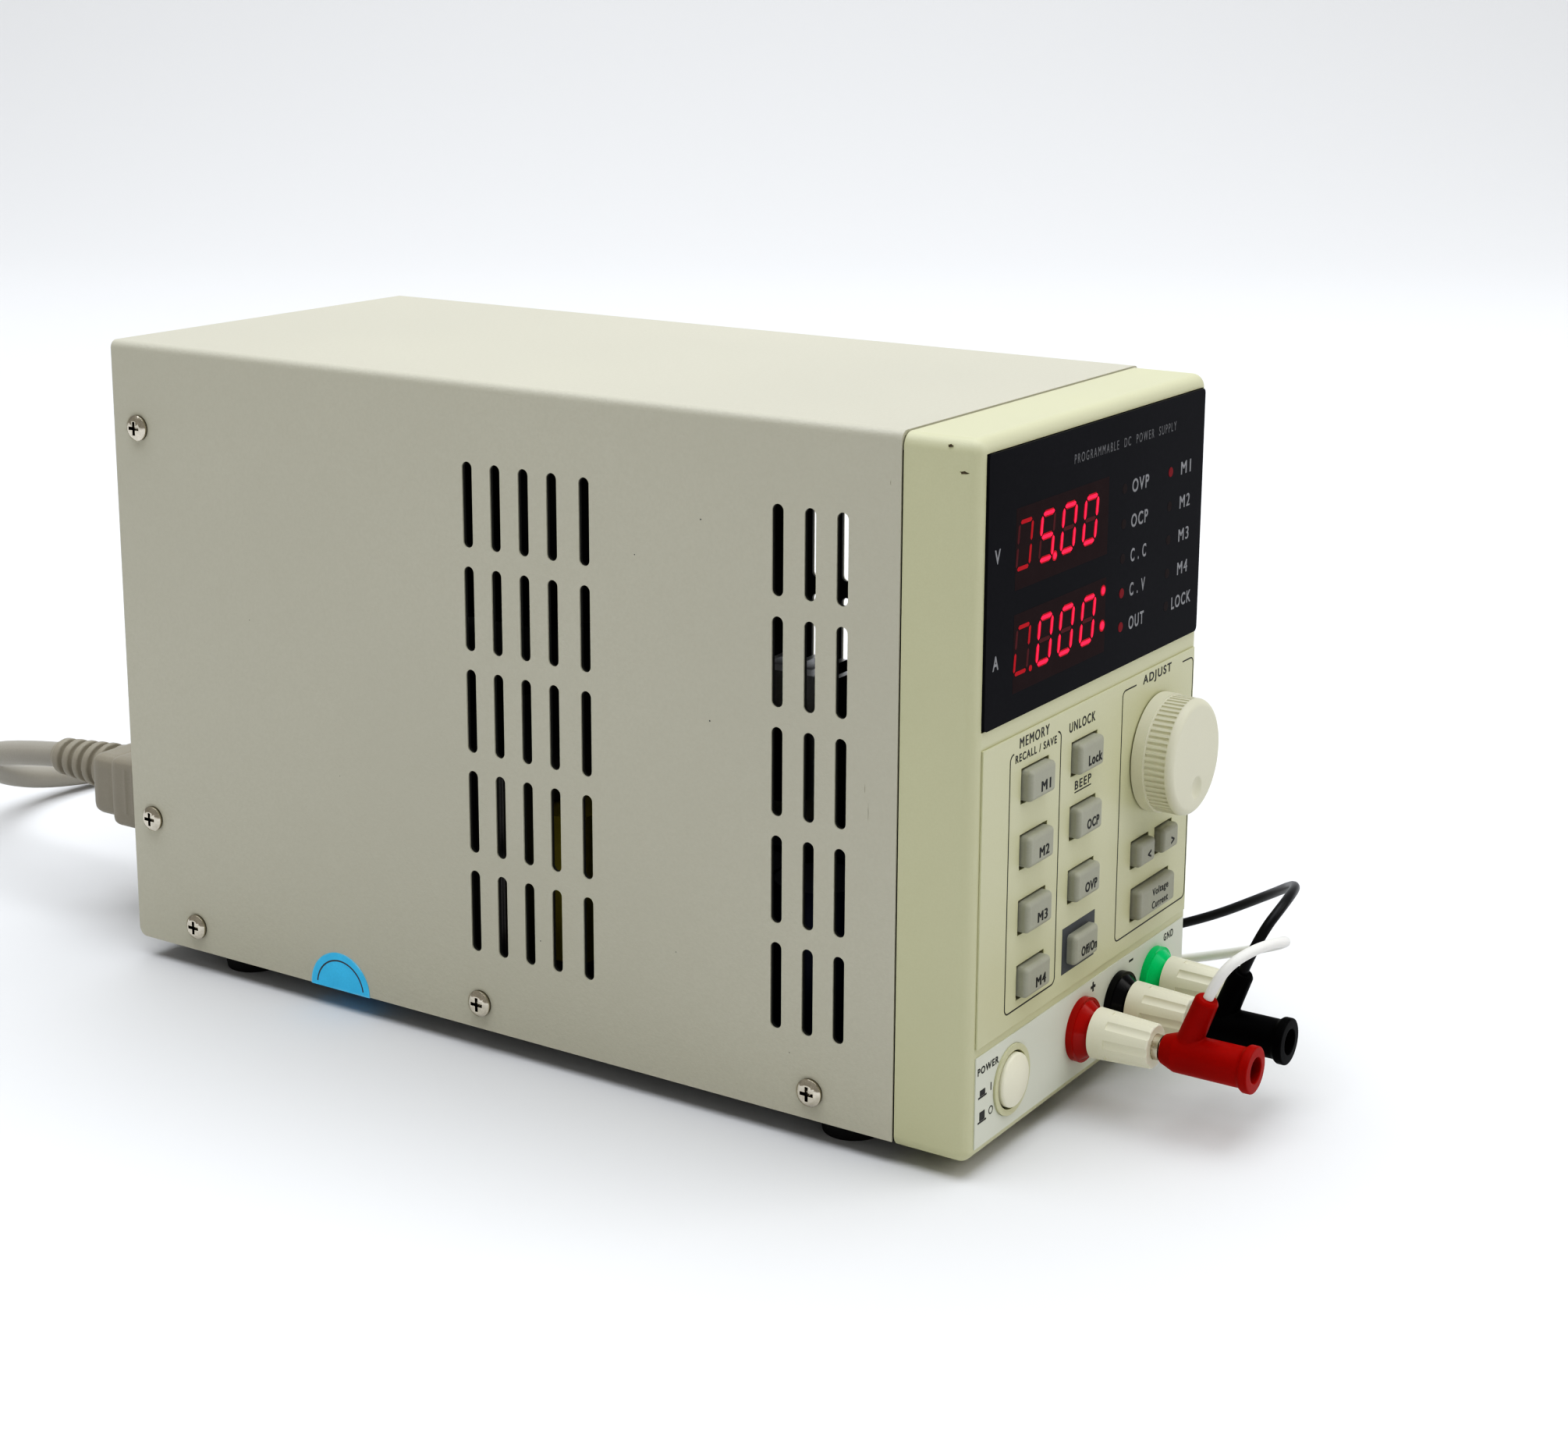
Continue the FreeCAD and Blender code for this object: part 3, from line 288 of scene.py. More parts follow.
def make_finishes():
    """Every finish of the object, by the name of its CAD material slot or by its own name.

    Each row gives a finish's colour, its roughness, and what else differs from make_material's
    ordinary values.
    """
    settings = {
        "case_paint": ((0.50, 0.483, 0.395), 0.5,
                       dict(vary=0.035, patch=7, grain=1300, relief=0.08, gloss=0.3,
                            edge_wear_and_highlight=(0.56, 0.54, 0.46))),
        "bezel_plastic": ((0.54, 0.535, 0.355), 0.42,
                          dict(vary=0.025, patch=18, grain=2600, relief=0.02, gloss=0.25,
                               edge_wear_and_highlight=(0.62, 0.60, 0.46))),
        "lens": ((0.013, 0.013, 0.016), 0.1,
                 dict(vary=0.1, grain=900, relief=0.002, gloss=0.015)),
        "label": ((0.62, 0.635, 0.54), 0.5, dict(vary=0.015, grain=3000, relief=0.008)),
        # the keys' lighter edge colour is a painted highlight
        "key_rubber": ((0.34, 0.34, 0.28), 0.5,
                       dict(vary=0.04, patch=160, relief=0.01, edge_wear_and_highlight=(0.50, 0.50, 0.42))),
        "knob_plastic": ((0.64, 0.625, 0.48), 0.42, dict(vary=0.02, patch=60, relief=0.012)),
        "cream_plastic": ((0.76, 0.74, 0.58), 0.4,
                          dict(vary=0.02, patch=60, relief=0.012, gloss=0.4)),
        "red_plastic": ((0.31, 0.004, 0.001), 0.4,
                        dict(vary=0.08, patch=120, relief=0.02, gloss=0.07)),
        "green_plastic": ((0.0, 0.60, 0.18), 0.36,
                          dict(vary=0.05, patch=120, relief=0.01, gloss=0.06)),
        "black_plastic": ((0.002, 0.002, 0.0023), 0.4,
                          dict(vary=0.15, patch=90, relief=0.02, gloss=0.035)),
        "red_gloss": ((0.36, 0.006, 0.002), 0.14,
                      dict(vary=0.06, patch=120, relief=0.01, gloss=0.25)),
        "green_gloss": ((0.0, 0.58, 0.19), 0.14,
                        dict(vary=0.05, patch=120, relief=0.01, gloss=0.2)),
        "black_gloss": ((0.002, 0.002, 0.0023), 0.14,
                        dict(vary=0.1, patch=120, relief=0.01, gloss=0.25)),
        "display_module": ((0.02, 0.018, 0.018), 0.4, dict(vary=0.2)),
        "lamps": ((0.25, 0.03, 0.03), 0.2, dict()),
        "board": ((0.02, 0.13, 0.05), 0.4, dict(vary=0.25, patch=110)),
        "steel": ((0.52, 0.52, 0.50), 0.42, dict(vary=0.12, patch=60, metallic=0.9)),
        "tape": ((0.48, 0.40, 0.05), 0.32, dict(vary=0.08, patch=50, relief=0.05)),
        "aluminium": ((0.68, 0.68, 0.69), 0.34, dict(vary=0.06, patch=30, metallic=1)),
        "capacitor": ((0.02, 0.03, 0.09), 0.3, dict(vary=0.1, relief=0.01)),
        # the chrome screws get painted shade in their recesses
        "chrome": ((0.66, 0.61, 0.51), 0.16,
                   dict(vary=0.15, patch=500, metallic=1, relief=0.01, recess_shade=(0.03, 0.025, 0.018))),
        "nickel": ((0.62, 0.57, 0.47), 0.3, dict(vary=0.1, patch=300, metallic=1, relief=0.01)),
        "brass": ((0.72, 0.53, 0.22), 0.3, dict(vary=0.1, patch=300, metallic=1)),
        "rubber": ((0.02, 0.02, 0.02), 0.7, dict(vary=0.2, patch=140, relief=0.06)),
        "sticker": ((0.09, 0.56, 0.95), 0.42,
                    dict(vary=0.06, patch=220, relief=0.01, edge_wear_and_highlight=(0.75, 0.82, 0.88))),
        "grey_moulding": ((0.30, 0.275, 0.225), 0.5, dict(vary=0.05, patch=60)),
        "grey_cord": ((0.33, 0.31, 0.27), 0.46, dict(patch=30, relief=0.02)),
        "white_wire": ((0.78, 0.77, 0.74), 0.4, dict(vary=0.03, patch=60, relief=0.01)),
        "black_wire": ((0.008, 0.008, 0.009), 0.4, dict(vary=0.15, patch=60, relief=0.01)),
        "ink_black": ((0.018, 0.018, 0.018), 0.5, dict(vary=0.15, patch=900, relief=0.002)),
        "ink_dark": ((0.045, 0.045, 0.045), 0.5, dict(vary=0.15, patch=900, relief=0.002)),
        "ink_grey": ((0.085, 0.09, 0.095), 0.5, dict(vary=0.1, patch=700, relief=0.004)),
        "ink_light": ((0.24, 0.24, 0.25), 0.5, dict(vary=0.15, patch=900, relief=0.002)),
        "ink_faint": ((0.13, 0.13, 0.135), 0.5, dict(vary=0.2, patch=900, relief=0.002)),
        "window": ((0.030, 0.017, 0.018), 0.12,
                   dict(vary=0.08, patch=200, relief=0.002, gloss=0.01)),
        "lamp_off": ((0.024, 0.016, 0.016), 0.3, dict(relief=0.002, gloss=0.015)),
        "nick": ((0.10, 0.08, 0.05), 0.8, dict(vary=0.3, patch=900)),
    }
    finishes = {name: make_material(name, colour, roughness, **options)
                for name, (colour, roughness, options) in settings.items()}
    finishes["core_steel"] = make_laminations()
    # the cover's paint, with painted shade on its inner faces and slot walls
    finishes["cover_paint_and_shade"] = finishes["case_paint"].copy()
    finishes["cover_paint_and_shade"].name = "cover_paint_and_shade"
    paint_inside_shade(finishes["cover_paint_and_shade"], "cover")
    # the unlit bars glow faintly too: painted light in place of their red face lit by the room
    glows = {"lit_core": ((1, 0.018, 0.075), 1.5), "lit_rim": ((0.5, 0, 0.018), 0.8),
             "half_lit": ((0.36, 0.002, 0.012), 1), "unlit": ((0.07, 0.004, 0.007), 1),
             "lamp_lit": ((0.15, 0.003, 0.009), 1)}
    for name, (colour, strength) in glows.items():
        finishes[name] = make_glow(name, colour, strength)
    return finishes


def make_laminations():
    """Stacked steel sheets: thin dark lines between bright plates."""
    material = make_material("core_steel", (0.20, 0.19, 0.18), 0.5, vary=0.15, patch=70,
                             metallic=0.7)
    tree = material.node_tree
    shader = tree.nodes["Principled BSDF"]
    place = add(tree, "TexCoord", {}).outputs["Object"]
    sheets = add(tree, "TexWave", {"Vector": place, "Scale": 320, "Distortion": 0.3},
                 bands_direction="Y")
    steel = shader.inputs["Base Color"].links[0].from_socket
    gaps = spread(tree, sheets.outputs["Fac"], 0, 0.4, 0.7, 0)
    tree.links.new(mixed(tree, gaps, steel, (0.03, 0.03, 0.03)), shader.inputs["Base Color"])
    return material


# CAD nodes with a finish of their own in place of their slot's
OWN_FINISH = {"cover": "cover_paint_and_shade", "adjust_knob": "knob_plastic",
              "post_collar_red": "red_gloss", "post_collar_green": "green_gloss",
              "post_collar_black": "black_gloss"}


def paint_nodes():
    for name, node in NODES.items():
        for slot in node.material_slots:
            slot.material = FINISH[OWN_FINISH.get(name, slot.material.name.split(".")[0])]


# CAD nodes whose sharp edges are rounded, with the width of the rounding
SOFT_EDGES = {"chassis_tray": 0.2, "front_bezel": 0.35, "control_field": 0.1, "adjust_knob": 0.12,
              "power_button": 0.15, "mains_inlet": 0.3, "data_sockets": 0.2, "case_screws": 0.15,
              "rubber_feet": 0.5, "post_studs": 0.15}


def soften_edges():
    """Round the sharp edges of CAD nodes a little, as on real mouldings and folded sheet."""
    for name, width in SOFT_EDGES.items():
        node = NODES[name]
        if "custom_normal" in node.data.attributes:
            node.data.attributes.remove(node.data.attributes["custom_normal"])
        node.data.shade_smooth()
        weld = node.modifiers.new("weld", "WELD")
        weld.merge_threshold = 0.000001
        bevel = node.modifiers.new("soft_edges", "BEVEL")
        bevel.width = width * MM
        bevel.segments = 2
        bevel.limit_method = "ANGLE"
        bevel.angle_limit = math.radians(38)
        flat = node.modifiers.new("flat_faces", "WEIGHTED_NORMAL")
        flat.weight = 100


# Mesh making

def shown(name, mesh, smooth_angle=None):
    """Turn a bmesh into an object of the scene, with its faces pointing outwards."""
    bmesh.ops.recalc_face_normals(mesh, faces=mesh.faces)
    data = bpy.data.meshes.new(name)
    mesh.to_mesh(data)
    mesh.free()
    if smooth_angle:
        data.shade_smooth()
        data.set_sharp_from_angle(angle=math.radians(smooth_angle))
    thing = bpy.data.objects.new(name, data)
    bpy.context.scene.collection.objects.link(thing)
    return thing


def place_piece(piece, finish, body="root", stands_for=()):
    """Give a finished piece its material and its body, and hide the CAD nodes that it stands for.
    """
    piece.data.materials.append(FINISH[finish])
    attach(piece, body)
    if stands_for:
        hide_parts(*stands_for)
    return piece


def to_metres(mesh):
    bmesh.ops.scale(mesh, vec=(MM, MM, MM), verts=mesh.verts)


def around(count):
    """The angles of a full turn in equal steps."""
    return [2 * math.pi * step / count for step in range(count)]


def quarter(start):
    """The (cosine, sine) pairs of a quarter turn from an angle in degrees."""
    turns = [math.radians(start + 15 * step) for step in range(7)]
    return [(math.cos(turn), math.sin(turn)) for turn in turns]


def bridge(mesh, first, second):
    """Join two rings of vertices, equal in number, with a band of faces."""
    for step in range(len(first)):
        after = (step + 1) % len(first)
        mesh.faces.new((first[step], first[after], second[after], second[step]))


def prism(mesh, near, far):
    """Close two outlines of vertices into one solid."""
    mesh.faces.new(near)
    mesh.faces.new(reversed(far))
    bridge(mesh, far, near)


def revolve(mesh, profile, turn, segments=48):
    """Add a solid of revolution from (radius, height) pairs. turn places its axis, at first +Z."""
    rings = []
    for radius, height in profile:
        spots = [(radius * math.cos(a), radius * math.sin(a), height) for a in around(segments)]
        if radius == 0:
            spots = [(0, 0, height)]
        rings.append([mesh.verts.new(turn @ Vector(spot)) for spot in spots])
    for first, second in zip(rings, rings[1:]):
        for step in range(segments):
            following = (step + 1) % segments
            corners = [first[step % len(first)], first[following % len(first)],
                       second[following % len(second)], second[step % len(second)]]
            mesh.faces.new(list(dict.fromkeys(corners)))


def aimed(place, direction):
    """The matrix that moves the origin to a place and turns +Z to a direction."""
    turn = Vector(direction).to_track_quat("Z", "Y").to_matrix().to_4x4()
    return Matrix.Translation(place) @ turn


def block(mesh, corner, size, rounding):
    """Add a box from its lowest corner and size, with rounded edges."""
    middle = Vector(corner) + Vector(size) / 2
    scale = Matrix.Diagonal((*size, 1))
    made = bmesh.ops.create_cube(mesh, size=1, matrix=Matrix.Translation(middle) @ scale)
    edges = list({edge for vert in made["verts"] for edge in vert.link_edges})
    bmesh.ops.bevel(mesh, geom=edges, offset=rounding, segments=3, affect="EDGES", profile=0.5)


def moulded(name, mesh, grain, smoothing):
    """Melt overlapping closed solids into one soft-edged moulding. grain is its mesh size."""
    to_metres(mesh)
    rough = shown(name + "_parts", mesh)
    remesh = rough.modifiers.new("remesh", "REMESH")
    remesh.mode = "VOXEL"
    remesh.voxel_size = grain * MM
    soften = rough.modifiers.new("soften", "SMOOTH")
    soften.factor = 0.5
    soften.iterations = smoothing
    graph = bpy.context.evaluated_depsgraph_get()
    data = bpy.data.meshes.new_from_object(rough.evaluated_get(graph))
    data.shade_smooth()
    bpy.data.objects.remove(rough)
    piece = bpy.data.objects.new(name, data)
    bpy.context.scene.collection.objects.link(piece)
    return piece


class Artwork:
    """Printed shapes gathered into one thin solid on a plane that faces -Y."""

    def __init__(self, plane, thick=0.05):
        self.mesh = bmesh.new()
        self.faces_at = plane - thick
        self.back_at = plane + thick

    def polygon(self, outline):
        """Add a thin prism with an outline of (x, z) points."""
        rings = [[self.mesh.verts.new((x, y, z)) for x, z in outline]
                 for y in (self.faces_at, self.back_at)]
        prism(self.mesh, *rings)

    def rectangle(self, left, right, bottom, top):
        self.polygon([(left, bottom), (right, bottom), (right, top), (left, top)])

    def disc(self, x, z, radius):
        self.polygon([(x + radius * math.cos(a), z + radius * math.sin(a)) for a in around(24)])

    def line(self, path, width):
        """Add a line of even width along a path of (x, z) points."""
        left, right = [], []
        for index, point in enumerate(path):
            before = Vector(path[max(index - 1, 0)])
            after = Vector(path[min(index + 1, len(path) - 1)])
            along = (after - before).normalized()
            across = Vector((-along.y, along.x)) * width / 2
            left.append(tuple(Vector(point) + across))
            right.append(tuple(Vector(point) - across))
        self.polygon(left + right[::-1])

    def words(self, text, x, z, wide, tall, weight=0.022, gap=1.25):
        """Add lettering that fills a box centred on (x, z).

        weight thickens the strokes and gap spaces the letters. An M or a 4 can't be swollen
        without its outline crossing itself, so text with one is drawn twice, a little apart.
        """
        doubled = any(letter in "M4" for letter in text)
        curve = bpy.data.curves.new("lettering", "FONT")
        curve.body = text
        curve.extrude = 0.5
        curve.offset = 0 if doubled else weight
        curve.space_character = gap
        holder = bpy.data.objects.new("lettering", curve)
        data = bpy.data.meshes.new_from_object(holder)
        lows = [min(vert.co[axis] for vert in data.vertices) for axis in (0, 1)]
        highs = [max(vert.co[axis] for vert in data.vertices) for axis in (0, 1)]
        scale = [wide / (highs[0] - lows[0]), tall / (highs[1] - lows[1])]
        flat = [vert.co.copy() for vert in data.vertices]
        for layer, shift in enumerate((-weight, weight) if doubled else (0,)):
            for vert, (across, up, depth) in zip(data.vertices, flat):
                vert.co = (x + (across + shift - (lows[0] + highs[0]) / 2) * scale[0],
                           self.faces_at - 0.003 * layer if depth > 0 else self.back_at,
                           z + (up - (lows[1] + highs[1]) / 2) * scale[1])
            self.mesh.from_mesh(data)
        bpy.data.objects.remove(holder)

    def finish(self, name, finish, body="root", slot=None):
        bmesh.ops.remove_doubles(self.mesh, verts=self.mesh.verts, dist=0.0005)
        to_metres(self.mesh)
        return place_piece(shown(name, self.mesh), finish, body)


# Cords: each route repeats the points of its CAD solid

MAINS_ROUTE = [
    (-25, 192.15, 36.5), (-24.6, 221, 33), (-9, 244, 20), (17, 254, 7.5), (47, 250.5, 3.5),
    (78, 244, 3.5),
]
RED_ROUTE = [
    (-2.7, -146.07, 32.09), (-2.7, -148.7, 39), (6.5, -152.8, 42.3), (24, -154, 39),
    (43, -143, 29), (56, -119, 17), (62, -90, 6), (63, -56, 1.2), (61.5, -15, 1.2), (64, 28, 1.2),
    (61.5, 62, 1.2), (63, 85, 1.2), (84, 98, 1.2), (106, 85, 1.2), (104.5, 57, 1.2),
    (106.5, 28, 1.2), (106, 4, 5),
]
BLACK_ROUTE = [
    (16.35, -146.07, 32.09), (16.35, -149.6, 41.5), (26, -152, 47.5), (45, -147, 45),
    (63, -133, 34), (74, -110, 19), (79, -80, 6), (78, -45, 1.2), (74.5, -4, 1.2),
    (76.5, 34, 1.2), (75, 58, 1.2), (76, 73.2, 1.2), (84.5, 79, 1.2), (93, 73, 1.2),
    (91.5, 48, 1.2), (93.5, 21, 1.2), (92.5, -3, 5),
]
TAIL_ROUTE = [(122.6, 189, 10.6), (124, 178, 11), (124, 170, 11)]
CORD_RADIUS = 3.5
WIRE_RADIUS = 1.2


def smooth_step(value):
    value = min(max(value, 0), 1)
    return value * value * (3 - 2 * value)


def coil_turns():
    """Three turns inwards on the floor, then three and a quarter outwards on top of them.

    Each turn is round for most of its way, and moves over to the next in its last part.
    """
    outer, pitch, low_z, high_z = 44, 7, CORD_RADIUS, 3 * CORD_RADIUS
    layers, steps, total, step_over = 3, 16, 6.25, 0.28
    points = []
    for step in range(1, int(total * steps) + 1):
        turn = step / steps
        ring, part = divmod(turn, 1)
        ease = smooth_step((part - 1 + step_over) / step_over)
        inwards = min(ring + ease, layers - 1) if turn < layers else 0
        outwards = min(ring - layers + ease, layers - 1) if turn >= layers else 0
        radius = outer - pitch * (inwards if turn < layers else layers - 1 - outwards)
        climb = smooth_step((turn - layers + step_over) / step_over)
        angle = math.pi / 2 - 2 * math.pi * turn
        x = COIL_CENTRE[0] + radius * math.cos(angle)
        y = COIL_CENTRE[1] + radius * math.sin(angle)
        points.append((x, y, low_z + (high_z - low_z) * climb))
    return points


def make_cord(name, route, radius, finish):
    """A round cord along one smooth NURBS that has the route's points as its control points."""
    curve = bpy.data.curves.new(name, "CURVE")
    curve.dimensions = "3D"
    curve.bevel_depth = radius * MM
    curve.bevel_resolution = 5
    curve.resolution_u = 8
    curve.use_fill_caps = True
    spline = curve.splines.new("NURBS")
    spline.points.add(len(route) - 1)
    for point, place in zip(spline.points, route):
        point.co = (*(Vector(place) * MM), 1)
    spline.order_u = 3
    spline.use_endpoint_u = True
    cord = bpy.data.objects.new(name, curve)
    bpy.context.scene.collection.objects.link(cord)
    return place_piece(cord, finish)


def make_mains_lead():
    connector = make_connector()
    plug = make_mains_plug()
    tie = make_coil_tie()
    route = MAINS_ROUTE + coil_turns() + TAIL_ROUTE
    lead = make_cord("mains_lead", route, CORD_RADIUS, "grey_cord")
    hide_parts("mains_cord", "mains_coil")


def ridges(start, pitch, depth, groove, top):
    """The profile of five rings round a strain relief, each narrower than the one before."""
    widest, narrowing, slope = 6.6, 0.35, 0.4
    profile = []
    for ring in range(5):
        begin, radius = start + pitch * ring, widest - narrowing * ring
        profile += [(radius - depth, begin), (radius - depth, begin + groove),
                    (radius, begin + groove + slope), (radius, begin + top)]
    return profile


def make_connector():
    """The moulded socket plug in the rear inlet, with its ridged strain relief."""
    inlet_x, _, inlet_z = MAINS_ROUTE[0]
    face, half_tall = 133.15, 10.15
    mesh = bmesh.new()
    block(mesh, (inlet_x - 12, face - 14.5, inlet_z - 8), (24, 16, 16), 0.8)
    block(mesh, (inlet_x - 14, face, inlet_z - half_tall - 0.5), (28, 25, 2 * half_tall - 1), 2.4)
    block(mesh, (inlet_x - 12.5, face + 23, inlet_z - 9.2), (25, 11, 17), 3)
    along = aimed((inlet_x, face + 33, inlet_z), (0, 1, 0))
    relief = ridges(start=3, pitch=4.2, depth=1.5, groove=1.5, top=3.9)
    revolve(mesh, [(0, 0), (6.8, 0), (6.8, 2), *relief, (4.2, 25), (4.0, 26), (0, 26)], along)
    for side in (-1, 1):
        for row in range(6):
            corner = (inlet_x + side * 13.6 - 0.6, face + 4 + 2.8 * row, inlet_z - 6.5)
            block(mesh, corner, (1.2, 1.2, 13), 0.4)
    moulding = moulded("mains_socket_plug", mesh, 0.4, 3)
    return place_piece(moulding, "grey_moulding", stands_for=["mains_connector"])


def make_mains_plug():
    """The earthed plug at the far end of the lead: a moulded grip, two blades and a round pin."""
    x, start, z = TAIL_ROUTE[-1]
    mesh = bmesh.new()
    block(mesh, (x - 13, start - 57, z - 11), (26, 9, 22), 3.5)
    block(mesh, (x - 11, start - 50, z - 9.4), (22, 22, 18.8), 5)
    along = aimed((x, start - 30, z), (0, 1, 0))
    relief = ridges(start=4, pitch=4.8, depth=1.4, groove=1.6, top=4.2)
    revolve(mesh, [(0, 0), (7.4, 0), (7, 3), *relief, (4.1, 29), (3.9, 30), (0, 30)], along)
    moulding = moulded("mains_plug_moulding", mesh, 0.45, 3)
    grip = place_piece(moulding, "grey_moulding", stands_for=["mains_plug"])
    metal = bmesh.new()
    blade_reach, blade_thick = 6.35, 1.5
    for side in (-blade_reach, blade_reach):
        corner = (x + side - blade_thick / 2, start - 73.5, z + 1)
        block(metal, corner, (blade_thick, 20, 6.3), 0.45)
    pin = [(0, 0), (1.2, 0), (2, 0.6), (2.4, 1.6), (2.4, 20), (0, 20)]
    revolve(metal, pin, aimed((x, start - 76, z - 6), (0, 1, 0)), 32)
    to_metres(metal)
    pins = place_piece(shown("mains_plug_pins", metal, 40), "nickel", stands_for=["mains_plug"])
    return grip, pins


def make_coil_tie():
    """A hook-and-loop strap round the bundle on the coil's far side."""
    thick, half_width, angle = 0.5, 5, math.radians(250)
    inner, outer, top, round_by = 26.2, 47.4, 14.0, 3
    outline = []
    near, far, base, crest = inner + round_by, outer - round_by, round_by, top - round_by
    corners = ((far, crest, 0), (near, crest, 90), (near, base, 180), (far, base, 270))
    for corner_r, corner_z, start in corners:
        outline += [(corner_r, corner_z, cosine, sine) for cosine, sine in quarter(start)]
    out = Vector((math.cos(angle), math.sin(angle), 0))
    side = Vector((-out.y, out.x, 0))
    centre = Vector((*COIL_CENTRE, 0))
    mesh = bmesh.new()
    rings = []
    for radius, shift in ((round_by, -half_width), (round_by, half_width),
                          (round_by - thick, half_width), (round_by - thick, -half_width)):
        ring = []
        for corner_r, corner_z, cosine, sine in outline:
            place = centre + out * (corner_r + radius * cosine) + side * shift
            place.z = corner_z + radius * sine
            ring.append(mesh.verts.new(place))
        rings.append(ring)
    for first, second in zip(rings, rings[1:] + rings[:1]):
        bridge(mesh, first, second)
    to_metres(mesh)
    return place_piece(shown("coil_strap", mesh, 50), "rubber")


def make_stacking_plug(name, x, finish, node):
    """A stackable 4 mm plug: a hollow-ended sleeve with a side boot, melted into one moulding."""
    mesh = bmesh.new()
    along = aimed((x, FRONT, POST_Z), (0, -1, 0))
    sleeve = [(0, 21.2), (3.3, 21.2), (3.6, 22), (4.6, 24.6), (4.6, 40.4), (5.4, 41.4),
              (5.4, 43.2), (2.95, 43.3), (2.95, 35.4), (0, 35.4)]
    revolve(mesh, sleeve, along, 64)
    boot = [(0, 0), (3.5, 0), (2.95, 4.5), (2.75, 14.4), (2.2, 15.2), (0, 15.2)]
    boot_from, lean = (x, FRONT - 26, POST_Z), (0, -0.35, 0.937)
    revolve(mesh, boot, aimed(boot_from, lean))
    moulding = moulded(name, mesh, 0.2, 4)
    place_piece(moulding, finish, stands_for=[node])
    metal = bmesh.new()
    pin = [(0, 6), (1.6, 6), (1.95, 8), (1.95, 21.5), (0, 21.5)]
    revolve(metal, pin, along, 24)
    jack = [(2.05, 35.6), (2.85, 35.6), (2.85, 39.2), (2.05, 39.2), (2.05, 35.6)]
    revolve(metal, jack, along, 32)
    to_metres(metal)
    contact = place_piece(shown(name + "_contact", metal, 40), "nickel", stands_for=[node])
    return moulding, contact


def make_end_plug(name, place, finish):
    """The straight 4 mm plug at a lead's far end."""
    mesh = bmesh.new()
    along = aimed(place, (0, -1, 0))
    profile = [(0, 0), (2.0, 0), (2.6, 0.8), (3.2, 2)]
    for ring in range(5):
        wider, start = 0.2 * ring, 2.4 * ring
        profile += [(3.3 + wider, start + 4), (2.9 + wider, start + 4.4),
                    (2.9 + wider, start + 5.4), (3.4 + wider, start + 5.8)]
    profile += [(4.4, 18), (4.6, 26), (4.9, 29), (4.9, 31.4), (4.4, 32), (2.6, 32), (2.6, 24),
                (0, 24)]
    revolve(mesh, profile, along)
    to_metres(mesh)
    sleeve = place_piece(shown(name, mesh, 35), finish, stands_for=["lead_end_plugs"])
    metal = bmesh.new()
    pin = [(0, 24.5), (1.9, 24.5), (1.9, 33), (1.55, 34), (1.7, 36), (2.0, 40.5), (1.7, 45.5),
           (1.5, 47.5), (1, 49), (0, 49)]
    revolve(metal, pin, along, 24)
    to_metres(metal)
    bare = shown(name + "_pin", metal, 40)
    return sleeve, place_piece(bare, "nickel", stands_for=["lead_end_plugs"])


def make_leads():
    for colour, wire, route, length in (("red", "white_wire", RED_ROUTE, 0.42),
                                        ("black", "black_wire", BLACK_ROUTE, 0.375)):
        plastic = f"{colour}_plastic"
        near = make_stacking_plug(f"{colour}_plug", POST_X[colour], plastic, f"{colour}_lead_plug")
        far = make_end_plug(f"{colour}_end_plug", route[-1], plastic)
        lead = make_cord(f"{colour}_lead", route, WIRE_RADIUS, wire)
        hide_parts(f"{colour}_lead_wire")


# Printed graphics and displays

# The planes that the print lies on, and the heights of the rows of lamps
LENS = low("display_lens").y
FIELD = low("control_field").y
LABEL = low("terminal_label").y
KEY_FACE = low("key_output").y
LAMP_ROWS = (140.9, 132.9, 125.0, 117.1, 109.3)
# The two ends (x, z, x, z) of each bar of a digit, as shares of its width and height
SEGMENTS = {"a": (0, 1, 1, 1), "b": (1, 0.5, 1, 1), "c": (1, 0, 1, 0.5), "d": (0, 0, 1, 0),
            "e": (0, 0, 0, 0.5), "f": (0, 0.5, 0, 1), "g": (0, 0.5, 1, 0.5)}
DIGIT_WIDE, DIGIT_TALL, DIGIT_SLANT = 5.7, 9.8, 0.12
DIGIT_LEFTS = (-39.8, -29.7, -19.8, -9.5)


def print_lens():
    art = Artwork(LENS)
    art.words("V", -48, 136.3, 2.5, 3.1)
    art.words("A", -47.9, 113.8, 2.6, 3.1)
    near_words = (("OVP", 8.6), ("OCP", 8.6), ("C . C", 8), ("C . V", 8), ("OUT", 7.8))
    far_words = (("M1", 5.2), ("M2", 5.4), ("M3", 5.4), ("M4", 5.4), ("LOCK", 10.6))
    for words, x, tall in ((near_words, 18.6, 3.1), (far_words, 42.6, 3.0)):
        for (text, wide), z in zip(words, LAMP_ROWS):
            art.words(text, x, z, wide, tall)
    art.finish("lens_lettering", "ink_light", slot="label")
    title = Artwork(LENS)
    title.words("PROGRAMMABLE  DC  POWER  SUPPLY", 11, 151.4, 51, 2.1, 0.012, 1.4)
    title.finish("title_lettering", "ink_faint", slot="label")
    lamps = {"lamp_lit": Artwork(LENS, 0.07), "lamp_off": Artwork(LENS, 0.03)}
    for x, lit_rows in ((10.6, (3, 4)), (34.4, (0,))):
        for row, z in enumerate(LAMP_ROWS):
            lamps["lamp_lit" if row in lit_rows else "lamp_off"].disc(x, z, 1.15)
    for finish, dots in lamps.items():
        dots.finish(f"{finish}_dots", finish, slot="lamps")


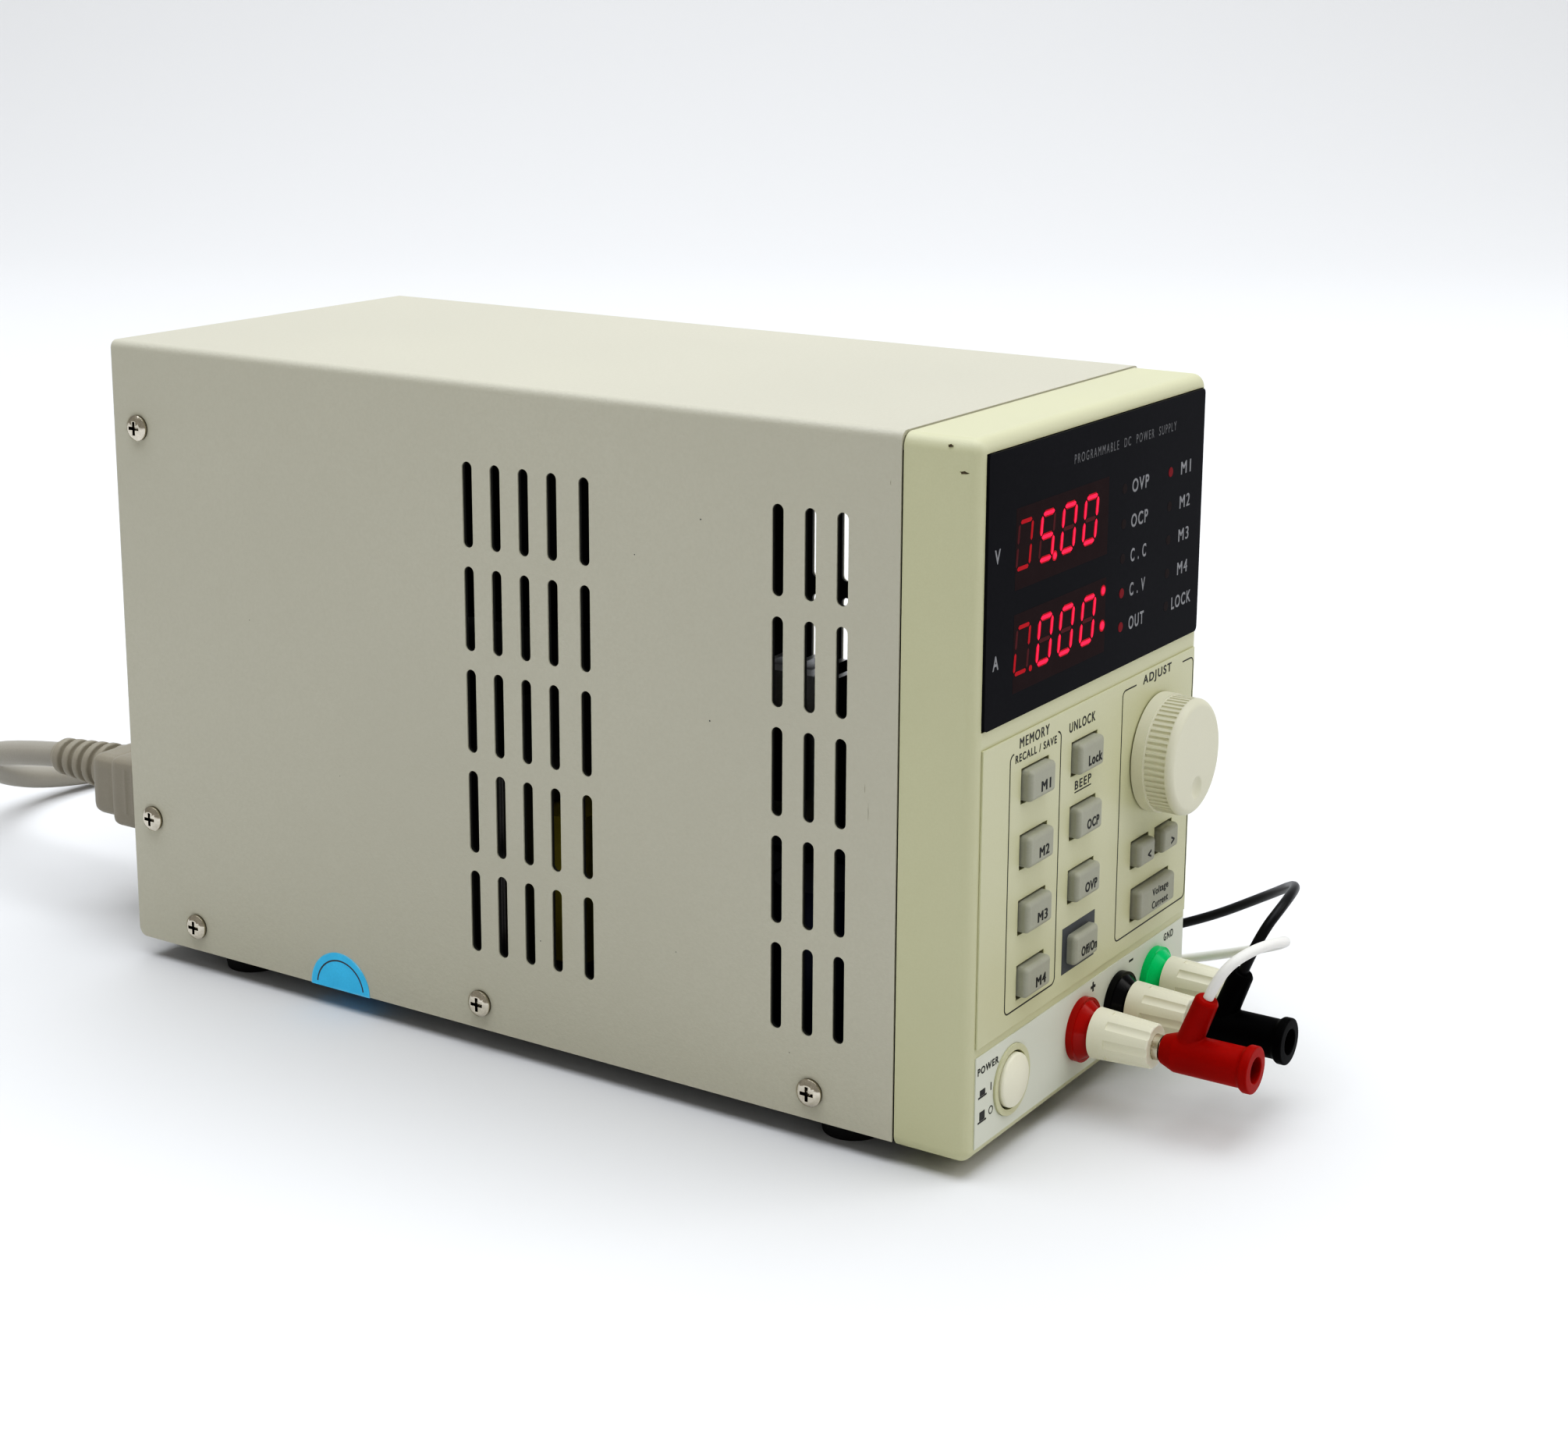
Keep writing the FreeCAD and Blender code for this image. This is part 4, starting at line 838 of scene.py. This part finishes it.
def segment(art, left, bottom, name, thick):
    """Add one slanted, pointed bar of a seven-segment digit."""
    gap = 0.35
    x1, z1, x2, z2 = SEGMENTS[name]
    start = Vector((x1 * DIGIT_WIDE, z1 * DIGIT_TALL))
    end = Vector((x2 * DIGIT_WIDE, z2 * DIGIT_TALL))
    along = (end - start).normalized()
    across = Vector((-along.y, along.x)) * thick / 2
    point = along * thick / 2
    start, end = start + along * gap, end - along * gap
    outline = [start, start + point + across, end - point + across,
               end, end - point - across, start + point - across]
    art.polygon([(left + p.x + DIGIT_SLANT * p.y, bottom + p.y) for p in outline])


def make_digits():
    """Two rows of digits: bright cores on darker, wider glows, one dim digit in each, and a faint
    painted glow on every unlit bar.
    """
    window = Artwork(LENS, 0.02)
    for bottom, top in ((127.6, 145), (105.4, 122.4)):
        window.rectangle(-40.2, 2.6, bottom, top)
    window.finish("display_windows", "window", slot="lens")
    rim, core = Artwork(LENS, 0.05), Artwork(LENS, 0.08)
    half, off = Artwork(LENS, 0.06), Artwork(LENS, 0.04)
    rows = ((132, "500", "abcd", "fe"), (109.5, "000", "abde", "fc"))
    shapes = {"5": "acdfg", "0": "abcdef"}
    for bottom, digits, half_lit, unlit in rows:
        for digit, left in zip(digits, DIGIT_LEFTS[1:]):
            for bar in SEGMENTS:
                if bar in shapes[digit]:
                    segment(rim, left, bottom, bar, 1.5)
                    segment(core, left, bottom, bar, 0.8)
                else:
                    segment(off, left, bottom, bar, 0.9)
        for art, bars in ((half, half_lit), (off, unlit)):
            for bar in bars:
                segment(art, DIGIT_LEFTS[0], bottom, bar, 0.9)
    for x, z, art, radius in ((-22.6, 131.9, core, 0.75), (1.2, 119.6, core, 0.85),
                              (1.2, 111.6, core, 0.95), (-32.4, 109.4, half, 0.7)):
        art.disc(x, z, radius)
        if art is core:
            rim.disc(x, z, radius + 0.4)
    for name, art, finish in (("digit_glow", rim, "lit_rim"), ("digit_bars", core, "lit_core"),
                              ("digit_half_lit_bars", half, "half_lit"),
                              ("digit_unlit_bars", off, "unlit")):
        art.finish(name, finish, slot="lamps")


def bracket(art, left, right, bottom, top, left_hook, right_hook):
    """A thin round-cornered frame, open at the top between two short hooks."""
    corner, width = 1.5, 0.32
    path = [(left + left_hook, top)]
    west, east = left + corner, right - corner
    south, north = bottom + corner, top - corner
    for x, z, start in ((west, north, 90), (west, south, 180),
                        (east, south, 270), (east, north, 360)):
        path += [(x + corner * cosine, z + corner * sine) for cosine, sine in quarter(start)]
    path.append((right - right_hook, top))
    art.line(path, width)


def print_field():
    art = Artwork(FIELD)
    art.words("MEMORY", -29.3, 93.7, 13.4, 2.3)
    art.words("RECALL / SAVE", -28.4, 90.5, 18.8, 1.8)
    bracket(art, -40.1, -16.9, 33.6, 91.9, 1.6, 1.0)
    art.words("UNLOCK", -6.7, 91.4, 12.6, 2.3)
    art.words("BEEP", -5.6, 77.4, 8, 2.0, 0.015)
    art.line([(-9.6, 75.8), (-1.6, 75.8)], 0.28)
    art.words("ADJUST", 31.4, 93.6, 15.2, 2.8)
    bracket(art, 13.3, 51.2, 33.5, 93.6, 7, 6)
    art.finish("field_lettering", "ink_dark", slot="label")
    surround = Artwork(FIELD, 0.03)
    surround.rectangle(-13.6, 2.4, 34.2, 45.1)
    surround.finish("output_key_surround", "ink_grey", slot="label")


# Each key's words, with their offset (x, z) from its middle, their width and their height
KEY_LABELS = {
    "key_memory_one": [("M1", 0.9, -0.9, 4.1, 2.3)],
    "key_memory_two": [("M2", 0.9, -0.9, 4.3, 2.3)],
    "key_memory_three": [("M3", 0.9, -0.9, 4.3, 2.3)],
    "key_memory_four": [("M4", 0.9, -0.9, 4.4, 2.3)],
    "key_lock": [("Lock", 1.1, -0.9, 6.6, 2.4)],
    "key_current_limit": [("OCP", 0.9, -0.9, 5.8, 2.3)],
    "key_voltage_limit": [("OVP", 0.9, -0.9, 5.8, 2.3)],
    "key_output": [("Off/On", 0.9, -0.9, 7.6, 2.3)],
    "key_step_left": [("<", 0.8, -0.6, 1.7, 1.9)],
    "key_step_right": [(">", 0.8, -0.6, 1.7, 1.9)],
    "key_select": [("Voltage", 1.2, 1.3, 8.6, 2.3), ("Current", 1.2, -1.6, 8.6, 1.8)],
}


def print_keys():
    for key, labels in KEY_LABELS.items():
        middle = (low(key) + high(key)) / 2
        art = Artwork(KEY_FACE)
        for text, x, z, wide, tall in labels:
            weight = 0.012 if len(text) > 6 else 0.03
            art.words(text, middle.x + x, middle.z + z, wide, tall, weight, 1.15)
        art.finish(f"{key}_lettering", "ink_black", body_of_node(key), slot="label")


def body_of_node(node):
    """The name of the body that a CAD node belongs to in the record."""
    bodies = frame["record"]["behaviour"]["bodies"]
    return next(body for body, members in bodies.items() if node in members)


def print_label():
    art = Artwork(LABEL)
    art.words("POWER", -46.4, 24.5, 9.3, 1.7, 0.03)
    art.words("+", 3.2, 26, 2.3, 2.3, 0.035)
    art.words("-", 23, 26, 2.2, 0.5)
    art.words("GND", 43.5, 25.9, 5.2, 1.9)
    art.words("I", -45, 19.4, 0.35, 1.8)
    art.words("O", -44.9, 13.9, 1.9, 1.9, 0)
    for z, rise in ((19.4, 1.3), (13.7, 2)):
        art.rectangle(-50.6, -46.9, z - 1.2, z - 0.8)
        art.rectangle(-49.9, -47.6, z - 0.7, z - 0.7 + rise)
    art.finish("terminal_lettering", "ink_dark", slot="label")


# Small parts that the CAD model leaves out

def make_data_pins():
    """Nine pins in the serial socket, and its two screw locks."""
    socket_x, socket_z, face = 38, 36.5, 130.55
    row_shift, pitch, lock_reach = 1.4, 2.75, 12.5
    pin = [(0, -4), (0.5, -4), (0.5, 1.2), (0.25, 1.7), (0, 1.7)]
    nut = [(2.6, 0), (2.6, 3.6), (1.4, 3.6), (1.4, 0.6), (0, 0.6)]
    metal = bmesh.new()
    for count, z in ((5, socket_z + row_shift), (4, socket_z - row_shift)):
        for step in range(count):
            x = socket_x + pitch * (step - (count - 1) / 2)
            revolve(metal, pin, aimed((x, face, z), (0, 1, 0)), 12)
    for side in (-lock_reach, lock_reach):
        revolve(metal, nut, aimed((socket_x + side, face, socket_z), (0, 1, 0)), 6)
    to_metres(metal)
    place_piece(shown("data_socket_contacts", metal, 40), "brass")


def blot(mesh, place, outward, size):
    """A small flat mark with a ragged outline, on a surface that faces an axis."""
    turn = aimed(place, outward) @ Matrix.Diagonal((*size, 1, 1))
    proud, sunk = 0.03, -0.05
    ragged = [1, 0.6, 0.9, 0.55, 0.8, 0.5, 0.95, 0.65, 0.75]
    ring = [(reach * math.cos(a), reach * math.sin(a))
            for reach, a in zip(ragged, around(len(ragged)))]
    outlines = [[mesh.verts.new(turn @ Vector((x, y, height))) for x, y in ring]
                for height in (proud, sunk)]
    prism(mesh, *outlines)


def make_wear_marks():
    """Two chips at the front moulding's upper left corner, and fine marks on the cover."""
    side = low("front_bezel").x
    chips = bmesh.new()
    blot(chips, (side + 0.12, -107.6, 159.6), (-1, 0, 0.3), (0.8, 0.4))
    blot(chips, (side, -110.9, 154.4), (-1, 0, 0), (1.3, 0.4))
    to_metres(chips)
    place_piece(shown("bezel_chips", chips), "nick")
    side = low("cover").x
    scratches = bmesh.new()
    for y, z, tall in ((-89.5, 79, 2.4), (-88.6, 84, 1.2), (-93.9, 150.5, 0.6)):
        blot(scratches, (side, y, z), (-1, 0, 0), (0.07, tall))
    to_metres(scratches)
    place_piece(shown("cover_scratches", scratches), "grey_moulding")
    specks = bmesh.new()
    for y, z, size in ((-46.5, 137.2, 0.24), (-28.8, 127.2, 0.2), (-48.8, 92.5, 0.26),
                       (-0.9, 31.5, 0.2), (-39.5, 37, 0.16), (88, 96, 0.15), (60, 61, 0.14),
                       (-70, 20, 0.16)):
        blot(specks, (side, y, z), (-1, 0, 0), (size, size))
    to_metres(specks)
    place_piece(shown("cover_specks", specks), "ink_grey")


def make_seal_ring():
    """A plain printed ring round the paper seal, where it shows on the side."""
    middle = (low("seal_sticker") + high("seal_sticker")) / 2
    face = low("seal_sticker").x
    base = low("cover").z
    inner, outer, proud, sunk = 7.3, 7.7, -0.02, 0.05
    mesh = bmesh.new()
    steps = 40
    rows = []
    for step in range(steps + 1):
        angle = math.pi * (0.04 + 0.92 * step / steps)
        row = []
        for depth, radius in ((proud, inner), (proud, outer), (sunk, outer), (sunk, inner)):
            y, z = middle.y + radius * math.cos(angle), base + radius * math.sin(angle)
            row.append(mesh.verts.new((face + depth, y, z)))
        rows.append(row)
    for first, second in zip(rows, rows[1:]):
        bridge(mesh, first, second)
    mesh.faces.new(rows[0])
    mesh.faces.new(rows[-1][::-1])
    to_metres(mesh)
    place_piece(shown("seal_ring", mesh), "ink_grey")


def make_scene():
    make_camera()
    make_mains_lead()
    make_leads()
    make_backdrop()
    make_lights()
    paint_nodes()
    soften_edges()
    print_lens()
    make_digits()
    print_field()
    print_keys()
    print_label()
    make_data_pins()
    make_wear_marks()
    make_seal_ring()


FINISH = make_finishes()
make_scene()
